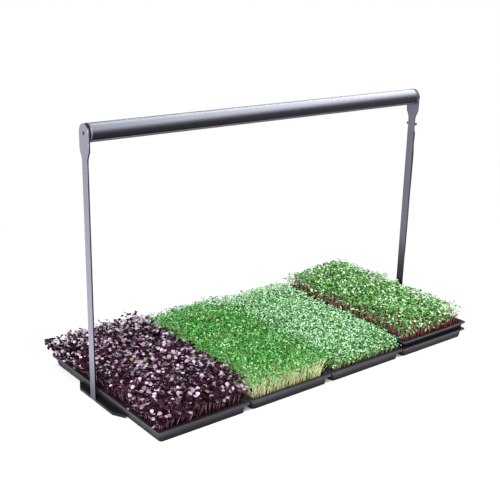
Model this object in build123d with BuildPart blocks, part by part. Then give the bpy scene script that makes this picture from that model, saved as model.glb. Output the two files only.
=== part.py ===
from build123d import *

import os
from math import ceil, cos, pi, radians, sin, sqrt, tan

# Microgreens growing kit: four pairs of nested trays with their crops, under a lamp on two legs.
# The origin is on the surface that the kit stands on, midway between the legs and midway along
# the trays. X runs along the lamp, -Y is the front of the trays and +Z is up. Millimetres.

# Trays. A position is a reservoir tray with a growing tray nested in it.
tray_width = 276.0
tray_length = 556.0
tray_gap = 4.0
tray_wall = 1.4
rim_corner_radius = 6.0
wall_corner_radius = 8.0
reservoir_height = 28.0
reservoir_lip = 6.2
reservoir_skirt = 4.0
wall_draft = 4.8
nest_clearance = 0.7
hang_clearance = 0.4
rib_height = 2.0
rib_width = 12.0
rib_end_gap = 26.0
long_ribs = 2
cross_ribs = 5
growing_skirt = 4.0
deep_tray_depth = 46.6
drain_slit_length = 14.0
drain_slit_width = 2.6
drain_columns = 4
drain_rows = 9
drain_margin = 34.0

# Growing medium, and the crops that stand on it. A crop's height is that of the middle of its
# canopy above its own rim. The canopy rises or falls from there towards the right and the back.
medium_depth = 18.0
deep_medium_depth = 30.0
medium_clearance = 0.3
crop_heights = (54.0, 51.0, 42.5, 54.0)
crop_right_rises = (20.0, 6.0, -4.0, 6.0)
crop_back_rises = (-2.0, -4.0, 9.0, 4.0)
crop_stem_gap = 8.0
crop_edge_insets = (0.6, 1.0, 3.0, 5.0)
crop_right_gaps = (0.0, 0.0, 0.0, 20.0)
crop_crown_inset = 13.0
crop_stem_radius = 12.0
crop_edge_radius = 22.0
crop_waist_share = 0.42
crop_edge_share = 0.72

# Stand: two flat legs, each with a round paddle at the top and a foot plate at the bottom.
leg_clearance = 10.5
leg_thickness = 4.5
leg_width = 25.5
leg_edge_radius = 0.7
stand_y = 15.0
lamp_axis_height = 701.0
paddle_width = 46.5
paddle_straight = 42.0
paddle_taper = 21.0
paddle_shoulder_radius = 22.0
paddle_throat_radius = 34.0
foot_thickness = 8.0
foot_tuck = 5.0
foot_straight = 170.0
foot_length = 246.0
foot_offset = 14.0
foot_corner_radius = 6.0
foot_tip_radius = 1.5
foot_edge_radius = 1.0
leg_notch_clearance = 0.1
pad_thickness = 1.0
pad_length = 40.0
pad_margin = 3.0
foot_screw_radius = 1.5
foot_screw_head_radius = 2.8
foot_screw_head_height = 2.4
foot_screw_spacing = 16.0
foot_screw_counterbore_depth = 6.0
foot_screw_bite = 3.6

# Lamp: an extruded tube with a web inside, closed by a diffuser below and a cap at each end.
housing_radius = 23.5
housing_wall = 1.6
slot_drop = 15.0
web_drop = 8.0
web_thickness = 2.0
port_angle = 20.0
port_hole_radius = 1.25
port_wall = 1.3
port_edge = 0.4
diffuser_wall = 1.5
diffuser_gap = 0.2
diffuser_hook_height = 3.2
diffuser_hook_thickness = 1.2
diffuser_lip_height = 1.4
cap_gap = 4.0
cap_flange = 3.0
cap_overhang = 0.6
cap_spigot = 8.0
spigot_clearance = 0.2
boss_radius = 9.0
washer_thickness = 1.5
washer_radius = 10.0
pivot_fit = 0.05
pivot_screw_radius = 2.5
pivot_head_radius = 4.5
pivot_head_height = 2.4
pivot_head_clearance = 0.3
pivot_socket_radius = 2.3
pivot_socket_depth = 1.6
cap_screw_length = 12.0
cap_screw_head_radius = 2.4
cap_screw_head_height = 1.6
sleeve_radius = 5.0
sleeve_bore_radius = 3.2
sleeve_flange_radius = 7.0
sleeve_flange_thickness = 2.0
nut_radius = 8.0
nut_thickness = 3.0
board_width = 30.0
board_thickness = 1.6
board_end_gap = 12.0
chip_size = 3.0
chip_height = 0.8
chip_pitch = 18.0
chip_row_gap = 12.0
board_screw_count = 7
board_screw_radius = 1.2
board_screw_head_radius = 2.2
board_screw_head_height = 1.3
driver_length = 210.0
driver_width = 26.0
driver_height = 15.0
driver_end_gap = 40.0
driver_ear_length = 12.0
driver_ear_thickness = 2.0
driver_edge_radius = 2.0
inner_lead_radius = 2.75
inner_lead_end_gap = 1.5

# Mains lead: an elbow on the right paddle, a clip on the leg, the cord, its coil and its plug.
cord_diameter = 5.5
cord_stand_off = 5.0
elbow_radius = 13.0
elbow_depth = 13.0
elbow_cavity_radius = 10.5
elbow_cavity_depth = 6.5
elbow_edge_radius = 2.5
elbow_base_length = 44.0
elbow_base_width = 16.0
elbow_base_thickness = 2.5
elbow_screw_spacing = 34.0
elbow_screw_radius = 1.5
elbow_screw_head_radius = 2.7
elbow_screw_head_height = 1.7
relief_length = 30.0
relief_top_radius = 4.8
relief_end_radius = 3.9
clip_height = 6.0
clip_drop = 84.0
clip_lug = 5.5
clip_base = 2.2
clip_wall = 1.6
clip_grip = 0.15
clip_bore_clearance = 0.5
coil_centre = (490.0, 325.0)
coil_inner_radius = 24.0
coil_turns = 4
coil_gap = 0.7
coil_samples = 60
cord_run_share = 0.45
plug_length = 30.0
plug_width = 26.0
plug_height = 20.0
plug_corner_radius = 6.0
plug_face_share = 0.92
plug_neck_length = 8.0
plug_relief_length = 22.0
plug_neck_radius = 7.0
plug_relief_radius = 4.0
blade_length = 17.0
blade_width = 6.3
blade_thickness = 1.5
blade_spacing = 12.7
ground_pin_radius = 2.4
ground_pin_length = 20.0
ground_pin_drop = 5.0
blade_rise = 3.5

# The cord's route, chosen by hand: out of the elbow, through the clip, down behind the leg in
# slight waves, onto the floor, back along the last tray and round to the coil.
cord_route = [
    (578.0, 15.0, 658.0),
    (578.0, 15.0, 633.0),
    (578.0, 15.3, 607.0),
    (578.3, 7.2, 586.0),
    (577.9, 10.6, 565.0),
    (578.2, 6.9, 545.0),
    (577.9, 10.4, 526.0),
    (578.1, 8.0, 508.0),
    (578.5, 13.4, 480.0),
    (578.0, 15.6, 440.0),
    (577.8, 12.8, 388.0),
    (578.3, 16.4, 330.0),
    (578.8, 13.8, 266.0),
    (578.2, 15.2, 202.0),
    (578.0, 18.2, 140.0),
    (578.4, 20.2, 92.0),
    (579.2, 25.6, 51.0),
    (580.4, 44.2, 19.6),
    (582.2, 78.6, 2.75),
    (584.2, 120.0, 2.75),
    (585.4, 164.0, 2.75),
    (584.6, 210.0, 2.75),
    (580.4, 257.0, 2.75),
    (570.0, 298.0, 2.75),
    (551.0, 333.0, 2.75),
    (526.0, 354.0, 2.75),
    (507.0, 361.4, 2.75),
    (490.0, 361.4, 2.75),
]
cord_tail_route = [
    (490.0, 361.4, 8.95),
    (474.0, 361.4, 8.95),
    (456.0, 360.2, 8.3),
    (437.0, 356.6, 8.6),
    (420.0, 351.0, 10.0),
    (404.0, 345.73, 10.0),
]

# Worked out from the sizes above.
tray_pitch = tray_width + tray_gap
tray_count = len(crop_heights)
tray_centres = [(n - (tray_count - 1) / 2) * tray_pitch for n in range(tray_count)]
shallow_bottom = tray_wall + rib_height + hang_clearance
deep_bottom = tray_wall + rib_height
shallow_rim = reservoir_height + growing_skirt
deep_rim = deep_bottom + deep_tray_depth
growing_bottoms = [shallow_bottom] * (tray_count - 1) + [deep_bottom]
growing_rims = [shallow_rim] * (tray_count - 1) + [deep_rim]
medium_depths = [medium_depth] * (tray_count - 1) + [deep_medium_depth]
nested_inset = tray_wall + nest_clearance

trays_half_width = (tray_count * tray_pitch - tray_gap) / 2
leg_inner = trays_half_width + leg_clearance
leg_outer = leg_inner + leg_thickness
paddle_radius = paddle_width / 2
foot_y = stand_y - foot_offset
foot_inner = trays_half_width - foot_tuck
foot_depth = leg_outer - foot_inner
foot_middle = pad_thickness + foot_thickness / 2 - lamp_axis_height
cap_face = leg_inner - cap_gap
housing_half_length = cap_face - cap_flange
housing_bore_radius = housing_radius - housing_wall
port_centre_radius = housing_bore_radius - port_hole_radius - port_edge
port_y = port_centre_radius * cos(radians(port_angle))
port_z = port_centre_radius * sin(radians(port_angle))
web_top = -web_drop + web_thickness / 2
web_bottom = -web_drop - web_thickness / 2
board_bottom = web_bottom - board_thickness
board_screw_pitch = 2 * housing_half_length / board_screw_count
board_screw_xs = [
    (n - (board_screw_count - 1) / 2) * board_screw_pitch for n in range(board_screw_count)
]
driver_middle = housing_half_length - driver_end_gap - driver_length / 2
ear_reach = driver_length / 2 - driver_ear_length / 2
ear_xs = (driver_middle - ear_reach, driver_middle + ear_reach)
boss_length = cap_gap - washer_thickness
cord_radius = cord_diameter / 2
cord_x = leg_outer + cord_stand_off
coil_pitch = cord_diameter + coil_gap
coil_outer_radius = coil_inner_radius + coil_pitch * coil_turns / 2


def wall_inset(z):
    """How far a reservoir's outer wall stands in from the rim's edge at height z."""
    return reservoir_lip + wall_draft * (1 - z / reservoir_height)


def tray_shell(x, bottom, rim, extra_inset, skirt):
    """A thin tray with drafted walls and a rim that is turned down at its edge."""
    with BuildPart() as shell:
        for z in (bottom, rim):
            inset = wall_inset(z) + extra_inset
            with BuildSketch(Plane.XY.offset(z)):
                with Locations((x, 0)):
                    RectangleRounded(
                        tray_width - 2 * inset, tray_length - 2 * inset, wall_corner_radius
                    )
        loft(ruled=True)
        with BuildSketch(Plane.XY.offset(rim - tray_wall)):
            with Locations((x, 0)):
                RectangleRounded(tray_width, tray_length, rim_corner_radius)
        extrude(amount=tray_wall)
        with BuildSketch(Plane.XY.offset(rim - skirt)):
            with Locations((x, 0)):
                RectangleRounded(tray_width, tray_length, rim_corner_radius)
                RectangleRounded(
                    tray_width - 2 * tray_wall,
                    tray_length - 2 * tray_wall,
                    rim_corner_radius - tray_wall,
                    mode=Mode.SUBTRACT,
                )
        extrude(amount=skirt)
        for z in (bottom + tray_wall, rim):
            inset = wall_inset(z) + extra_inset + tray_wall
            with BuildSketch(Plane.XY.offset(z)):
                with Locations((x, 0)):
                    RectangleRounded(
                        tray_width - 2 * inset,
                        tray_length - 2 * inset,
                        wall_corner_radius - tray_wall,
                    )
        loft(ruled=True, mode=Mode.SUBTRACT)
    return shell


def rib_grid(width):
    """The centre lines of a reservoir's floor ribs as bars of the given width, at the origin."""
    floor_width = tray_width - 2 * (wall_inset(0) + tray_wall)
    floor_length = tray_length - 2 * (wall_inset(0) + tray_wall)
    narrowing = rib_width - width
    with BuildSketch() as bars:
        with GridLocations(floor_width / (long_ribs + 1), 0, long_ribs, 1):
            Rectangle(width, floor_length - 2 * rib_end_gap - narrowing)
        with GridLocations(0, floor_length / (cross_ribs + 1), 1, cross_ribs):
            Rectangle(floor_width - 2 * rib_end_gap - narrowing, width)
    return bars.sketch


def screw(radius, length, head_radius, head_height, socket_radius, socket_depth):
    """A cheese-head screw whose seat is at the origin and whose point is towards -Z."""
    with BuildPart() as made:
        with BuildSketch(Plane.XY.offset(-length)):
            Circle(radius)
        extrude(amount=length)
        with BuildSketch():
            Circle(head_radius)
        extrude(amount=head_height)
        with BuildSketch(Plane.XY.offset(head_height)):
            RegularPolygon(socket_radius, 6)
        extrude(amount=-socket_depth, mode=Mode.SUBTRACT)
    return made.part


def lamp_plane(x):
    """A section of the lamp: local X is world Y, local Y is world Z, from the lamp's axis."""
    return Plane(origin=(x, stand_y, lamp_axis_height), x_dir=(0, 1, 0), z_dir=(1, 0, 0))


def outward_plane(x, side, y=0.0, z=0.0):
    """A plane across the lamp's axis whose normal points away from the kit's middle."""
    return Plane(
        origin=(x, stand_y + y, lamp_axis_height + z), x_dir=(0, side, 0), z_dir=(side, 0, 0)
    )


def finish(piece, name):
    piece.part.label = name
    export_step(piece.part, f"parts/{name}.step")


os.makedirs("parts", exist_ok=True)

# Reservoir trays, with ribs pressed up into the floor.
rib_bars = rib_grid(rib_width)
rib_grooves = rib_grid(rib_width - 2 * tray_wall)
for number, x in enumerate(tray_centres, 1):
    shell = tray_shell(x, 0, reservoir_height, 0, reservoir_skirt)
    with BuildPart() as reservoir:
        add(shell.part)
        with BuildSketch(Plane.XY.offset(tray_wall)):
            with Locations((x, 0)):
                add(rib_bars)
        extrude(amount=rib_height)
        with BuildSketch():
            with Locations((x, 0)):
                add(rib_grooves)
        extrude(amount=rib_height, mode=Mode.SUBTRACT)
    finish(reservoir, f"reservoir_tray_{number}")

# Growing trays, with drain slits in the floor.
for number, x in enumerate(tray_centres, 1):
    bottom = growing_bottoms[number - 1]
    rim = growing_rims[number - 1]
    shell = tray_shell(x, bottom, rim, nested_inset, growing_skirt)
    slit_pitch_x = (tray_width - 2 * drain_margin) / (drain_columns - 1)
    slit_pitch_y = (tray_length - 2 * drain_margin) / (drain_rows - 1)
    with BuildPart() as growing_tray:
        add(shell.part)
        with BuildSketch(Plane.XY.offset(bottom)):
            with Locations((x, 0)):
                with GridLocations(slit_pitch_x, slit_pitch_y, drain_columns, drain_rows):
                    Rectangle(drain_slit_length, drain_slit_width)
        extrude(amount=tray_wall, mode=Mode.SUBTRACT)
    finish(growing_tray, f"growing_tray_{number}")

# Growing medium: a mat that fills the floor of each growing tray.
for number, x in enumerate(tray_centres, 1):
    medium_bottom = growing_bottoms[number - 1] + tray_wall
    medium_top = medium_bottom + medium_depths[number - 1]
    with BuildPart() as medium:
        for z in (medium_bottom, medium_top):
            inset = wall_inset(z) + nested_inset + tray_wall + medium_clearance
            with BuildSketch(Plane.XY.offset(z)):
                with Locations((x, 0)):
                    RectangleRounded(
                        tray_width - 2 * inset,
                        tray_length - 2 * inset,
                        wall_corner_radius - tray_wall - medium_clearance,
                    )
        loft(ruled=True)
    finish(medium, f"growing_medium_{number}")

# Crops: close-set stems that widen into a leaf canopy, which slopes as the light drew it up.
for number, x in enumerate(tray_centres, 1):
    rim = growing_rims[number - 1]
    medium_top = growing_bottoms[number - 1] + tray_wall + medium_depths[number - 1]
    top = rim + crop_heights[number - 1]
    edge_inset = crop_edge_insets[number - 1]
    right_gap = crop_right_gaps[number - 1]
    stem_inset = wall_inset(rim) + nested_inset + tray_wall + crop_stem_gap
    waist = medium_top + (top - medium_top) * crop_waist_share
    edge = medium_top + (top - medium_top) * crop_edge_share
    right_slope = crop_right_rises[number - 1] / tray_width
    back_slope = crop_back_rises[number - 1] / tray_length
    with BuildPart() as crop:
        for z, inset, corner in (
            (medium_top, stem_inset, crop_stem_radius),
            (waist, (stem_inset + edge_inset) / 2, crop_stem_radius),
            (edge, edge_inset, crop_edge_radius),
            (top, edge_inset + crop_crown_inset, crop_edge_radius),
        ):
            tilt = (z - medium_top) / (top - medium_top)
            level = Plane(
                origin=(x - right_gap / 2, 0, z),
                x_dir=(1, 0, right_slope * tilt),
                z_dir=(-right_slope * tilt, -back_slope * tilt, 1),
            )
            with BuildSketch(level):
                RectangleRounded(
                    tray_width - 2 * inset - right_gap, tray_length - 2 * inset, corner
                )
        loft(ruled=True)
    finish(crop, f"microgreens_{number}")

# Legs: a flat bar cut to a round paddle at the top, with its holes.
for side, side_name in ((-1, "left"), (1, "right")):
    face = leg_inner if side > 0 else -leg_outer
    with BuildPart() as leg:
        with BuildSketch(lamp_plane(face)) as outline:
            with BuildLine():
                CenterArc((0, 0), paddle_radius, 0, 90)
                Polyline(
                    (paddle_radius, 0),
                    (paddle_radius, -paddle_straight),
                    (leg_width / 2, -paddle_straight - paddle_taper),
                    (leg_width / 2, pad_thickness - lamp_axis_height),
                    (0, pad_thickness - lamp_axis_height),
                )
                mirror(about=Plane.YZ)
            make_face()
            fillet(outline.vertices().group_by(Axis.Y)[2], paddle_shoulder_radius)
            fillet(outline.vertices().group_by(Axis.Y)[1], paddle_throat_radius)
        extrude(amount=leg_thickness)
        fillet(leg.faces().filter_by(Axis.X).edges(), leg_edge_radius)
        for y in (-foot_screw_spacing / 2, foot_screw_spacing / 2):
            with Locations(outward_plane(side * leg_inner, -side, y, foot_middle)):
                Hole(foot_screw_radius, depth=foot_screw_bite)
        if side < 0:
            with Locations(outward_plane(-leg_outer, -1)):
                CounterBoreHole(
                    pivot_screw_radius + pivot_fit,
                    pivot_head_radius + pivot_head_clearance,
                    pivot_head_height,
                    depth=leg_thickness,
                )
        else:
            with Locations(outward_plane(leg_outer, 1)):
                Hole(sleeve_radius + pivot_fit, depth=leg_thickness)
            for y in (-elbow_screw_spacing / 2, elbow_screw_spacing / 2):
                with Locations(outward_plane(leg_outer, 1, y)):
                    Hole(elbow_screw_radius, depth=leg_thickness)
    finish(leg, f"leg_{side_name}")

# Feet: plates along the outer sides of the trays, each notched for its leg.
for side, side_name in ((-1, "left"), (1, "right")):
    with BuildPart() as foot:
        with BuildSketch(Plane.XY.offset(pad_thickness)) as outline:
            with BuildLine():
                Polyline(
                    (side * foot_inner, foot_y - foot_length / 2),
                    (side * leg_outer, foot_y - foot_straight / 2),
                    (side * leg_outer, foot_y + foot_straight / 2),
                    (side * foot_inner, foot_y + foot_length / 2),
                    close=True,
                )
            make_face()
            across = outline.vertices().group_by(Axis.X)
            fillet(across[0 if side < 0 else -1], foot_corner_radius)
            across = outline.vertices().group_by(Axis.X)
            fillet(across[-1 if side < 0 else 0], foot_tip_radius)
        extrude(amount=foot_thickness)
        fillet(foot.faces().sort_by(Axis.Z)[-1].edges(), foot_edge_radius)
        with BuildSketch(Plane.XY.offset(pad_thickness)):
            with Locations((side * (leg_outer - leg_thickness / 2), stand_y)):
                Rectangle(leg_thickness, leg_width + 2 * leg_notch_clearance)
        extrude(amount=foot_thickness, mode=Mode.SUBTRACT)
        for y in (-foot_screw_spacing / 2, foot_screw_spacing / 2):
            with Locations(outward_plane(side * foot_inner, -side, y, foot_middle)):
                CounterBoreHole(
                    foot_screw_radius,
                    foot_screw_head_radius,
                    foot_screw_counterbore_depth,
                    depth=foot_depth - leg_thickness,
                )
    finish(foot, f"foot_{side_name}")

with BuildPart() as foot_pads:
    pad_width = foot_depth - 2 * pad_margin
    pad_y = foot_straight / 2 - pad_length / 2 - pad_margin
    with BuildSketch():
        for side in (-1, 1):
            for end in (-1, 1):
                pad_x = side * (leg_outer - foot_depth / 2)
                with Locations((pad_x, foot_y + end * pad_y)):
                    RectangleRounded(pad_width, pad_length, pad_margin)
    extrude(amount=pad_thickness)
finish(foot_pads, "foot_pads")

foot_screw = screw(
    foot_screw_radius,
    foot_depth - foot_screw_counterbore_depth - leg_thickness + foot_screw_bite,
    foot_screw_head_radius,
    foot_screw_head_height,
    foot_screw_radius,
    foot_screw_head_height / 2,
)
with BuildPart() as foot_screws:
    seat = foot_inner + foot_screw_counterbore_depth
    for side in (-1, 1):
        for y in (-foot_screw_spacing / 2, foot_screw_spacing / 2):
            with Locations(outward_plane(side * seat, -side, y, foot_middle)):
                add(foot_screw)
finish(foot_screws, "foot_screws")

# Lamp housing: a tube with an open strip below, a web for the board and a port for each screw.
with BuildPart() as lamp_housing:
    with BuildSketch(lamp_plane(-housing_half_length)):
        Circle(housing_radius)
        Circle(housing_bore_radius, mode=Mode.SUBTRACT)
        with Locations((0, -web_drop)):
            mid_wall = housing_radius - housing_wall / 2
            Rectangle(2 * sqrt(mid_wall**2 - web_drop**2), web_thickness)
        for y in (-port_y, port_y):
            with Locations((y, port_z)):
                Circle(port_hole_radius + port_wall)
        with Locations((0, -slot_drop)):
            Rectangle(
                2 * housing_radius,
                2 * housing_radius,
                align=(Align.CENTER, Align.MAX),
                mode=Mode.SUBTRACT,
            )
        for y in (-port_y, port_y):
            with Locations((y, port_z)):
                Circle(port_hole_radius, mode=Mode.SUBTRACT)
        with BuildSketch(mode=Mode.INTERSECT):
            Circle(housing_radius)
    extrude(amount=2 * housing_half_length)
    for x in (*board_screw_xs, *ear_xs):
        with Locations((x, stand_y, lamp_axis_height - web_drop)):
            Cylinder(board_screw_radius, web_thickness, mode=Mode.SUBTRACT)
finish(lamp_housing, "lamp_housing")

# Diffuser: closes the open strip and hooks inside the housing's edges.
with BuildPart() as diffuser:
    diffuser_half = housing_half_length - spigot_clearance
    rim_z = -slot_drop - diffuser_gap
    hook_y = sqrt(housing_bore_radius**2 - slot_drop**2) - diffuser_gap - diffuser_hook_thickness
    shell_y = sqrt((housing_radius - diffuser_wall / 2) ** 2 - rim_z**2)
    with BuildSketch(lamp_plane(-diffuser_half)):
        Circle(housing_radius)
        Circle(housing_radius - diffuser_wall, mode=Mode.SUBTRACT)
        with Locations((0, rim_z)):
            Rectangle(
                2 * housing_radius,
                2 * housing_radius,
                align=(Align.CENTER, Align.MIN),
                mode=Mode.SUBTRACT,
            )
        for hand, align in ((-1, Align.MIN), (1, Align.MAX)):
            with Locations((hand * shell_y, rim_z)):
                Rectangle(shell_y - hook_y, diffuser_lip_height, align=(align, Align.MAX))
        for hand, align in ((-1, Align.MAX), (1, Align.MIN)):
            with Locations((hand * hook_y, rim_z - diffuser_lip_height)):
                Rectangle(
                    diffuser_hook_thickness,
                    diffuser_hook_height + diffuser_lip_height,
                    align=(align, Align.MIN),
                )
    extrude(amount=2 * diffuser_half)
finish(diffuser, "diffuser")

# End caps: a flange, a spigot that fits inside the housing above the web, and a pivot boss.
for side, side_name in ((-1, "left"), (1, "right")):
    pivot_bore = pivot_screw_radius if side < 0 else sleeve_radius
    with BuildPart() as end_cap:
        with BuildSketch(outward_plane(side * housing_half_length, side)):
            Circle(housing_radius + cap_overhang)
        extrude(amount=cap_flange)
        outer_rim = end_cap.edges().filter_by(GeomType.CIRCLE).sort_by(Axis.X)
        fillet(outer_rim[0 if side < 0 else -1], cap_overhang)
        with BuildSketch(outward_plane(side * cap_face, side)):
            Circle(boss_radius)
        extrude(amount=boss_length)
        with BuildSketch(outward_plane(side * housing_half_length, side)):
            Circle(housing_bore_radius - spigot_clearance)
            with Locations((0, web_top + spigot_clearance)):
                Rectangle(
                    2 * housing_radius,
                    2 * housing_radius,
                    align=(Align.CENTER, Align.MAX),
                    mode=Mode.SUBTRACT,
                )
            for y in (-port_y, port_y):
                with Locations((y, port_z)):
                    Circle(port_hole_radius + port_wall + spigot_clearance, mode=Mode.SUBTRACT)
        extrude(amount=-cap_spigot)
        with Locations(outward_plane(side * (cap_face + boss_length), side)):
            Hole(pivot_bore, depth=boss_length + cap_flange + cap_spigot)
        for y in (-port_y, port_y):
            with Locations(outward_plane(side * cap_face, side, y, port_z)):
                Hole(port_hole_radius, depth=cap_flange)
    finish(end_cap, f"end_cap_{side_name}")

cap_screw = screw(
    port_hole_radius,
    cap_screw_length,
    cap_screw_head_radius,
    cap_screw_head_height,
    port_hole_radius,
    cap_screw_head_height / 2,
)
with BuildPart() as end_cap_screws:
    for side in (-1, 1):
        for y in (-port_y, port_y):
            with Locations(outward_plane(side * cap_face, side, y, port_z)):
                add(cap_screw)
finish(end_cap_screws, "end_cap_screws")

# Pivots: a screw on the left, and a hollow sleeve with a nut on the right for the lead.
with BuildPart() as pivot_washers:
    for side, bore in ((-1, pivot_screw_radius), (1, sleeve_radius)):
        with BuildSketch(outward_plane(side * (cap_face + boss_length), side)):
            Circle(washer_radius)
            Circle(bore + pivot_fit, mode=Mode.SUBTRACT)
        extrude(amount=washer_thickness)
finish(pivot_washers, "pivot_washers")

with BuildPart() as pivot_screw:
    with Locations(outward_plane(pivot_head_height - leg_outer, -1)):
        add(
            screw(
                pivot_screw_radius,
                leg_thickness - pivot_head_height + cap_gap + cap_flange + cap_spigot,
                pivot_head_radius,
                pivot_head_height,
                pivot_socket_radius,
                pivot_socket_depth,
            )
        )
finish(pivot_screw, "pivot_screw")

sleeve_inner_end = housing_half_length - cap_spigot
sleeve_outer_end = leg_outer + nut_thickness
with BuildPart() as pivot_sleeve:
    with BuildSketch(outward_plane(sleeve_inner_end - sleeve_flange_thickness, 1)):
        Circle(sleeve_flange_radius)
    extrude(amount=sleeve_flange_thickness)
    with BuildSketch(outward_plane(sleeve_inner_end, 1)):
        Circle(sleeve_radius)
    extrude(amount=sleeve_outer_end - sleeve_inner_end)
    with Locations(outward_plane(sleeve_outer_end, 1)):
        Hole(
            sleeve_bore_radius,
            depth=sleeve_outer_end - sleeve_inner_end + sleeve_flange_thickness,
        )
finish(pivot_sleeve, "pivot_sleeve")

with BuildPart() as pivot_nut:
    with BuildSketch(outward_plane(leg_outer, 1)):
        RegularPolygon(nut_radius, 6)
        Circle(sleeve_radius, mode=Mode.SUBTRACT)
    extrude(amount=nut_thickness)
finish(pivot_nut, "pivot_nut")

# Light source: a board under the web, its chips and screws.
board_half = housing_half_length - board_end_gap
with BuildPart() as led_board:
    with BuildSketch(lamp_plane(-board_half)):
        with Locations((0, web_bottom)):
            Rectangle(board_width, board_thickness, align=(Align.CENTER, Align.MAX))
    extrude(amount=2 * board_half)
    for x in board_screw_xs:
        with Locations((x, stand_y, lamp_axis_height + web_bottom - board_thickness / 2)):
            Cylinder(board_screw_radius, board_thickness, mode=Mode.SUBTRACT)
finish(led_board, "led_board")

chip_columns = 2 * int((board_half - chip_size) / chip_pitch)
with BuildPart() as led_chips:
    with BuildSketch(Plane.XY.offset(lamp_axis_height + board_bottom)):
        with Locations((0, stand_y)):
            with GridLocations(chip_pitch, chip_row_gap, chip_columns, 2):
                Rectangle(chip_size, chip_size)
    extrude(amount=-chip_height)
finish(led_chips, "led_chips")

board_screw = screw(
    board_screw_radius,
    board_thickness + web_thickness,
    board_screw_head_radius,
    board_screw_head_height,
    board_screw_radius,
    board_screw_head_height / 2,
)
with BuildPart() as board_screws:
    for x in board_screw_xs:
        below = Plane(
            origin=(x, stand_y, lamp_axis_height + board_bottom), x_dir=(1, 0, 0), z_dir=(0, 0, -1)
        )
        with Locations(below):
            add(board_screw)
finish(board_screws, "board_screws")

# Driver: a closed box with an ear at each end, screwed down on the web.
with BuildPart() as driver:
    with BuildSketch(Plane.XY.offset(lamp_axis_height + web_top)):
        with Locations((driver_middle, stand_y)):
            Rectangle(driver_length, driver_width)
    extrude(amount=driver_ear_thickness)
    with BuildSketch(Plane.XY.offset(lamp_axis_height + web_top)):
        with Locations((driver_middle, stand_y)):
            Rectangle(driver_length - 2 * driver_ear_length, driver_width)
    extrude(amount=driver_height)
    fillet(driver.faces().sort_by(Axis.Z)[-1].edges(), driver_edge_radius)
    for x in ear_xs:
        ear_z = lamp_axis_height + web_top + driver_ear_thickness / 2
        with Locations((x, stand_y, ear_z)):
            Cylinder(board_screw_radius, driver_ear_thickness, mode=Mode.SUBTRACT)
finish(driver, "driver")

driver_screw = screw(
    board_screw_radius,
    driver_ear_thickness + web_thickness,
    board_screw_head_radius,
    board_screw_head_height,
    board_screw_radius,
    board_screw_head_height / 2,
)
with BuildPart() as driver_screws:
    for x in ear_xs:
        with Locations((x, stand_y, lamp_axis_height + web_top + driver_ear_thickness)):
            add(driver_screw)
finish(driver_screws, "driver_screws")

lead_start = driver_middle + driver_length / 2 - driver_ear_length
lead_end = leg_outer + elbow_cavity_depth - inner_lead_end_gap
with BuildPart() as inner_lead:
    with BuildSketch(lamp_plane(lead_start)):
        Circle(inner_lead_radius)
    extrude(amount=lead_end - lead_start)
finish(inner_lead, "inner_lead")

# Elbow: a hollow cap over the nut, with two ears and a tapered relief that points down.
with BuildPart() as cord_elbow:
    with BuildSketch(outward_plane(leg_outer, 1)):
        Circle(elbow_radius)
    extrude(amount=elbow_depth)
    fillet(cord_elbow.faces().sort_by(Axis.X)[-1].edges(), elbow_edge_radius)
    with BuildSketch(outward_plane(leg_outer, 1)):
        SlotOverall(elbow_base_length, elbow_base_width)
    extrude(amount=elbow_base_thickness)
    relief_top = lamp_axis_height - elbow_radius
    for z, radius in (
        (relief_top + relief_top_radius, relief_top_radius),
        (relief_top - relief_length, relief_end_radius),
    ):
        with BuildSketch(Plane.XY.offset(z)):
            with Locations((cord_x, stand_y)):
                Circle(radius)
    loft()
    with BuildSketch(outward_plane(leg_outer, 1)):
        Circle(elbow_cavity_radius)
    extrude(amount=elbow_cavity_depth, mode=Mode.SUBTRACT)
    for y in (-elbow_screw_spacing / 2, elbow_screw_spacing / 2):
        with Locations(outward_plane(leg_outer + elbow_base_thickness, 1, y)):
            Hole(elbow_screw_radius, depth=elbow_base_thickness)
finish(cord_elbow, "cord_elbow")

elbow_screw = screw(
    elbow_screw_radius,
    elbow_base_thickness + leg_thickness,
    elbow_screw_head_radius,
    elbow_screw_head_height,
    elbow_screw_radius,
    elbow_screw_head_height / 2,
)
with BuildPart() as elbow_screws:
    for y in (-elbow_screw_spacing / 2, elbow_screw_spacing / 2):
        with Locations(outward_plane(leg_outer + elbow_base_thickness, 1, y)):
            add(elbow_screw)
finish(elbow_screws, "elbow_screws")

# Cable clip: springs over the leg's edges and holds the cord in an arch on the outer face.
with BuildPart() as cable_clip:
    clip_z = lamp_axis_height - clip_drop - clip_height / 2
    grip_width = leg_width + 2 * clip_grip
    bore = cord_radius + clip_bore_clearance
    with BuildSketch(Plane.XY.offset(clip_z)):
        with Locations((leg_inner, stand_y)):
            Rectangle(
                leg_thickness + clip_base,
                grip_width + 2 * clip_lug,
                align=(Align.MIN, Align.CENTER),
            )
            Rectangle(
                leg_thickness, grip_width, align=(Align.MIN, Align.CENTER), mode=Mode.SUBTRACT
            )
        with Locations((cord_x, stand_y)):
            Circle(bore + clip_wall)
        with Locations((leg_outer, stand_y)):
            Rectangle(
                leg_thickness, grip_width, align=(Align.MAX, Align.CENTER), mode=Mode.SUBTRACT
            )
        with Locations((cord_x, stand_y)):
            Circle(bore, mode=Mode.SUBTRACT)
    extrude(amount=clip_height)
finish(cable_clip, "cable_clip")


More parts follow.
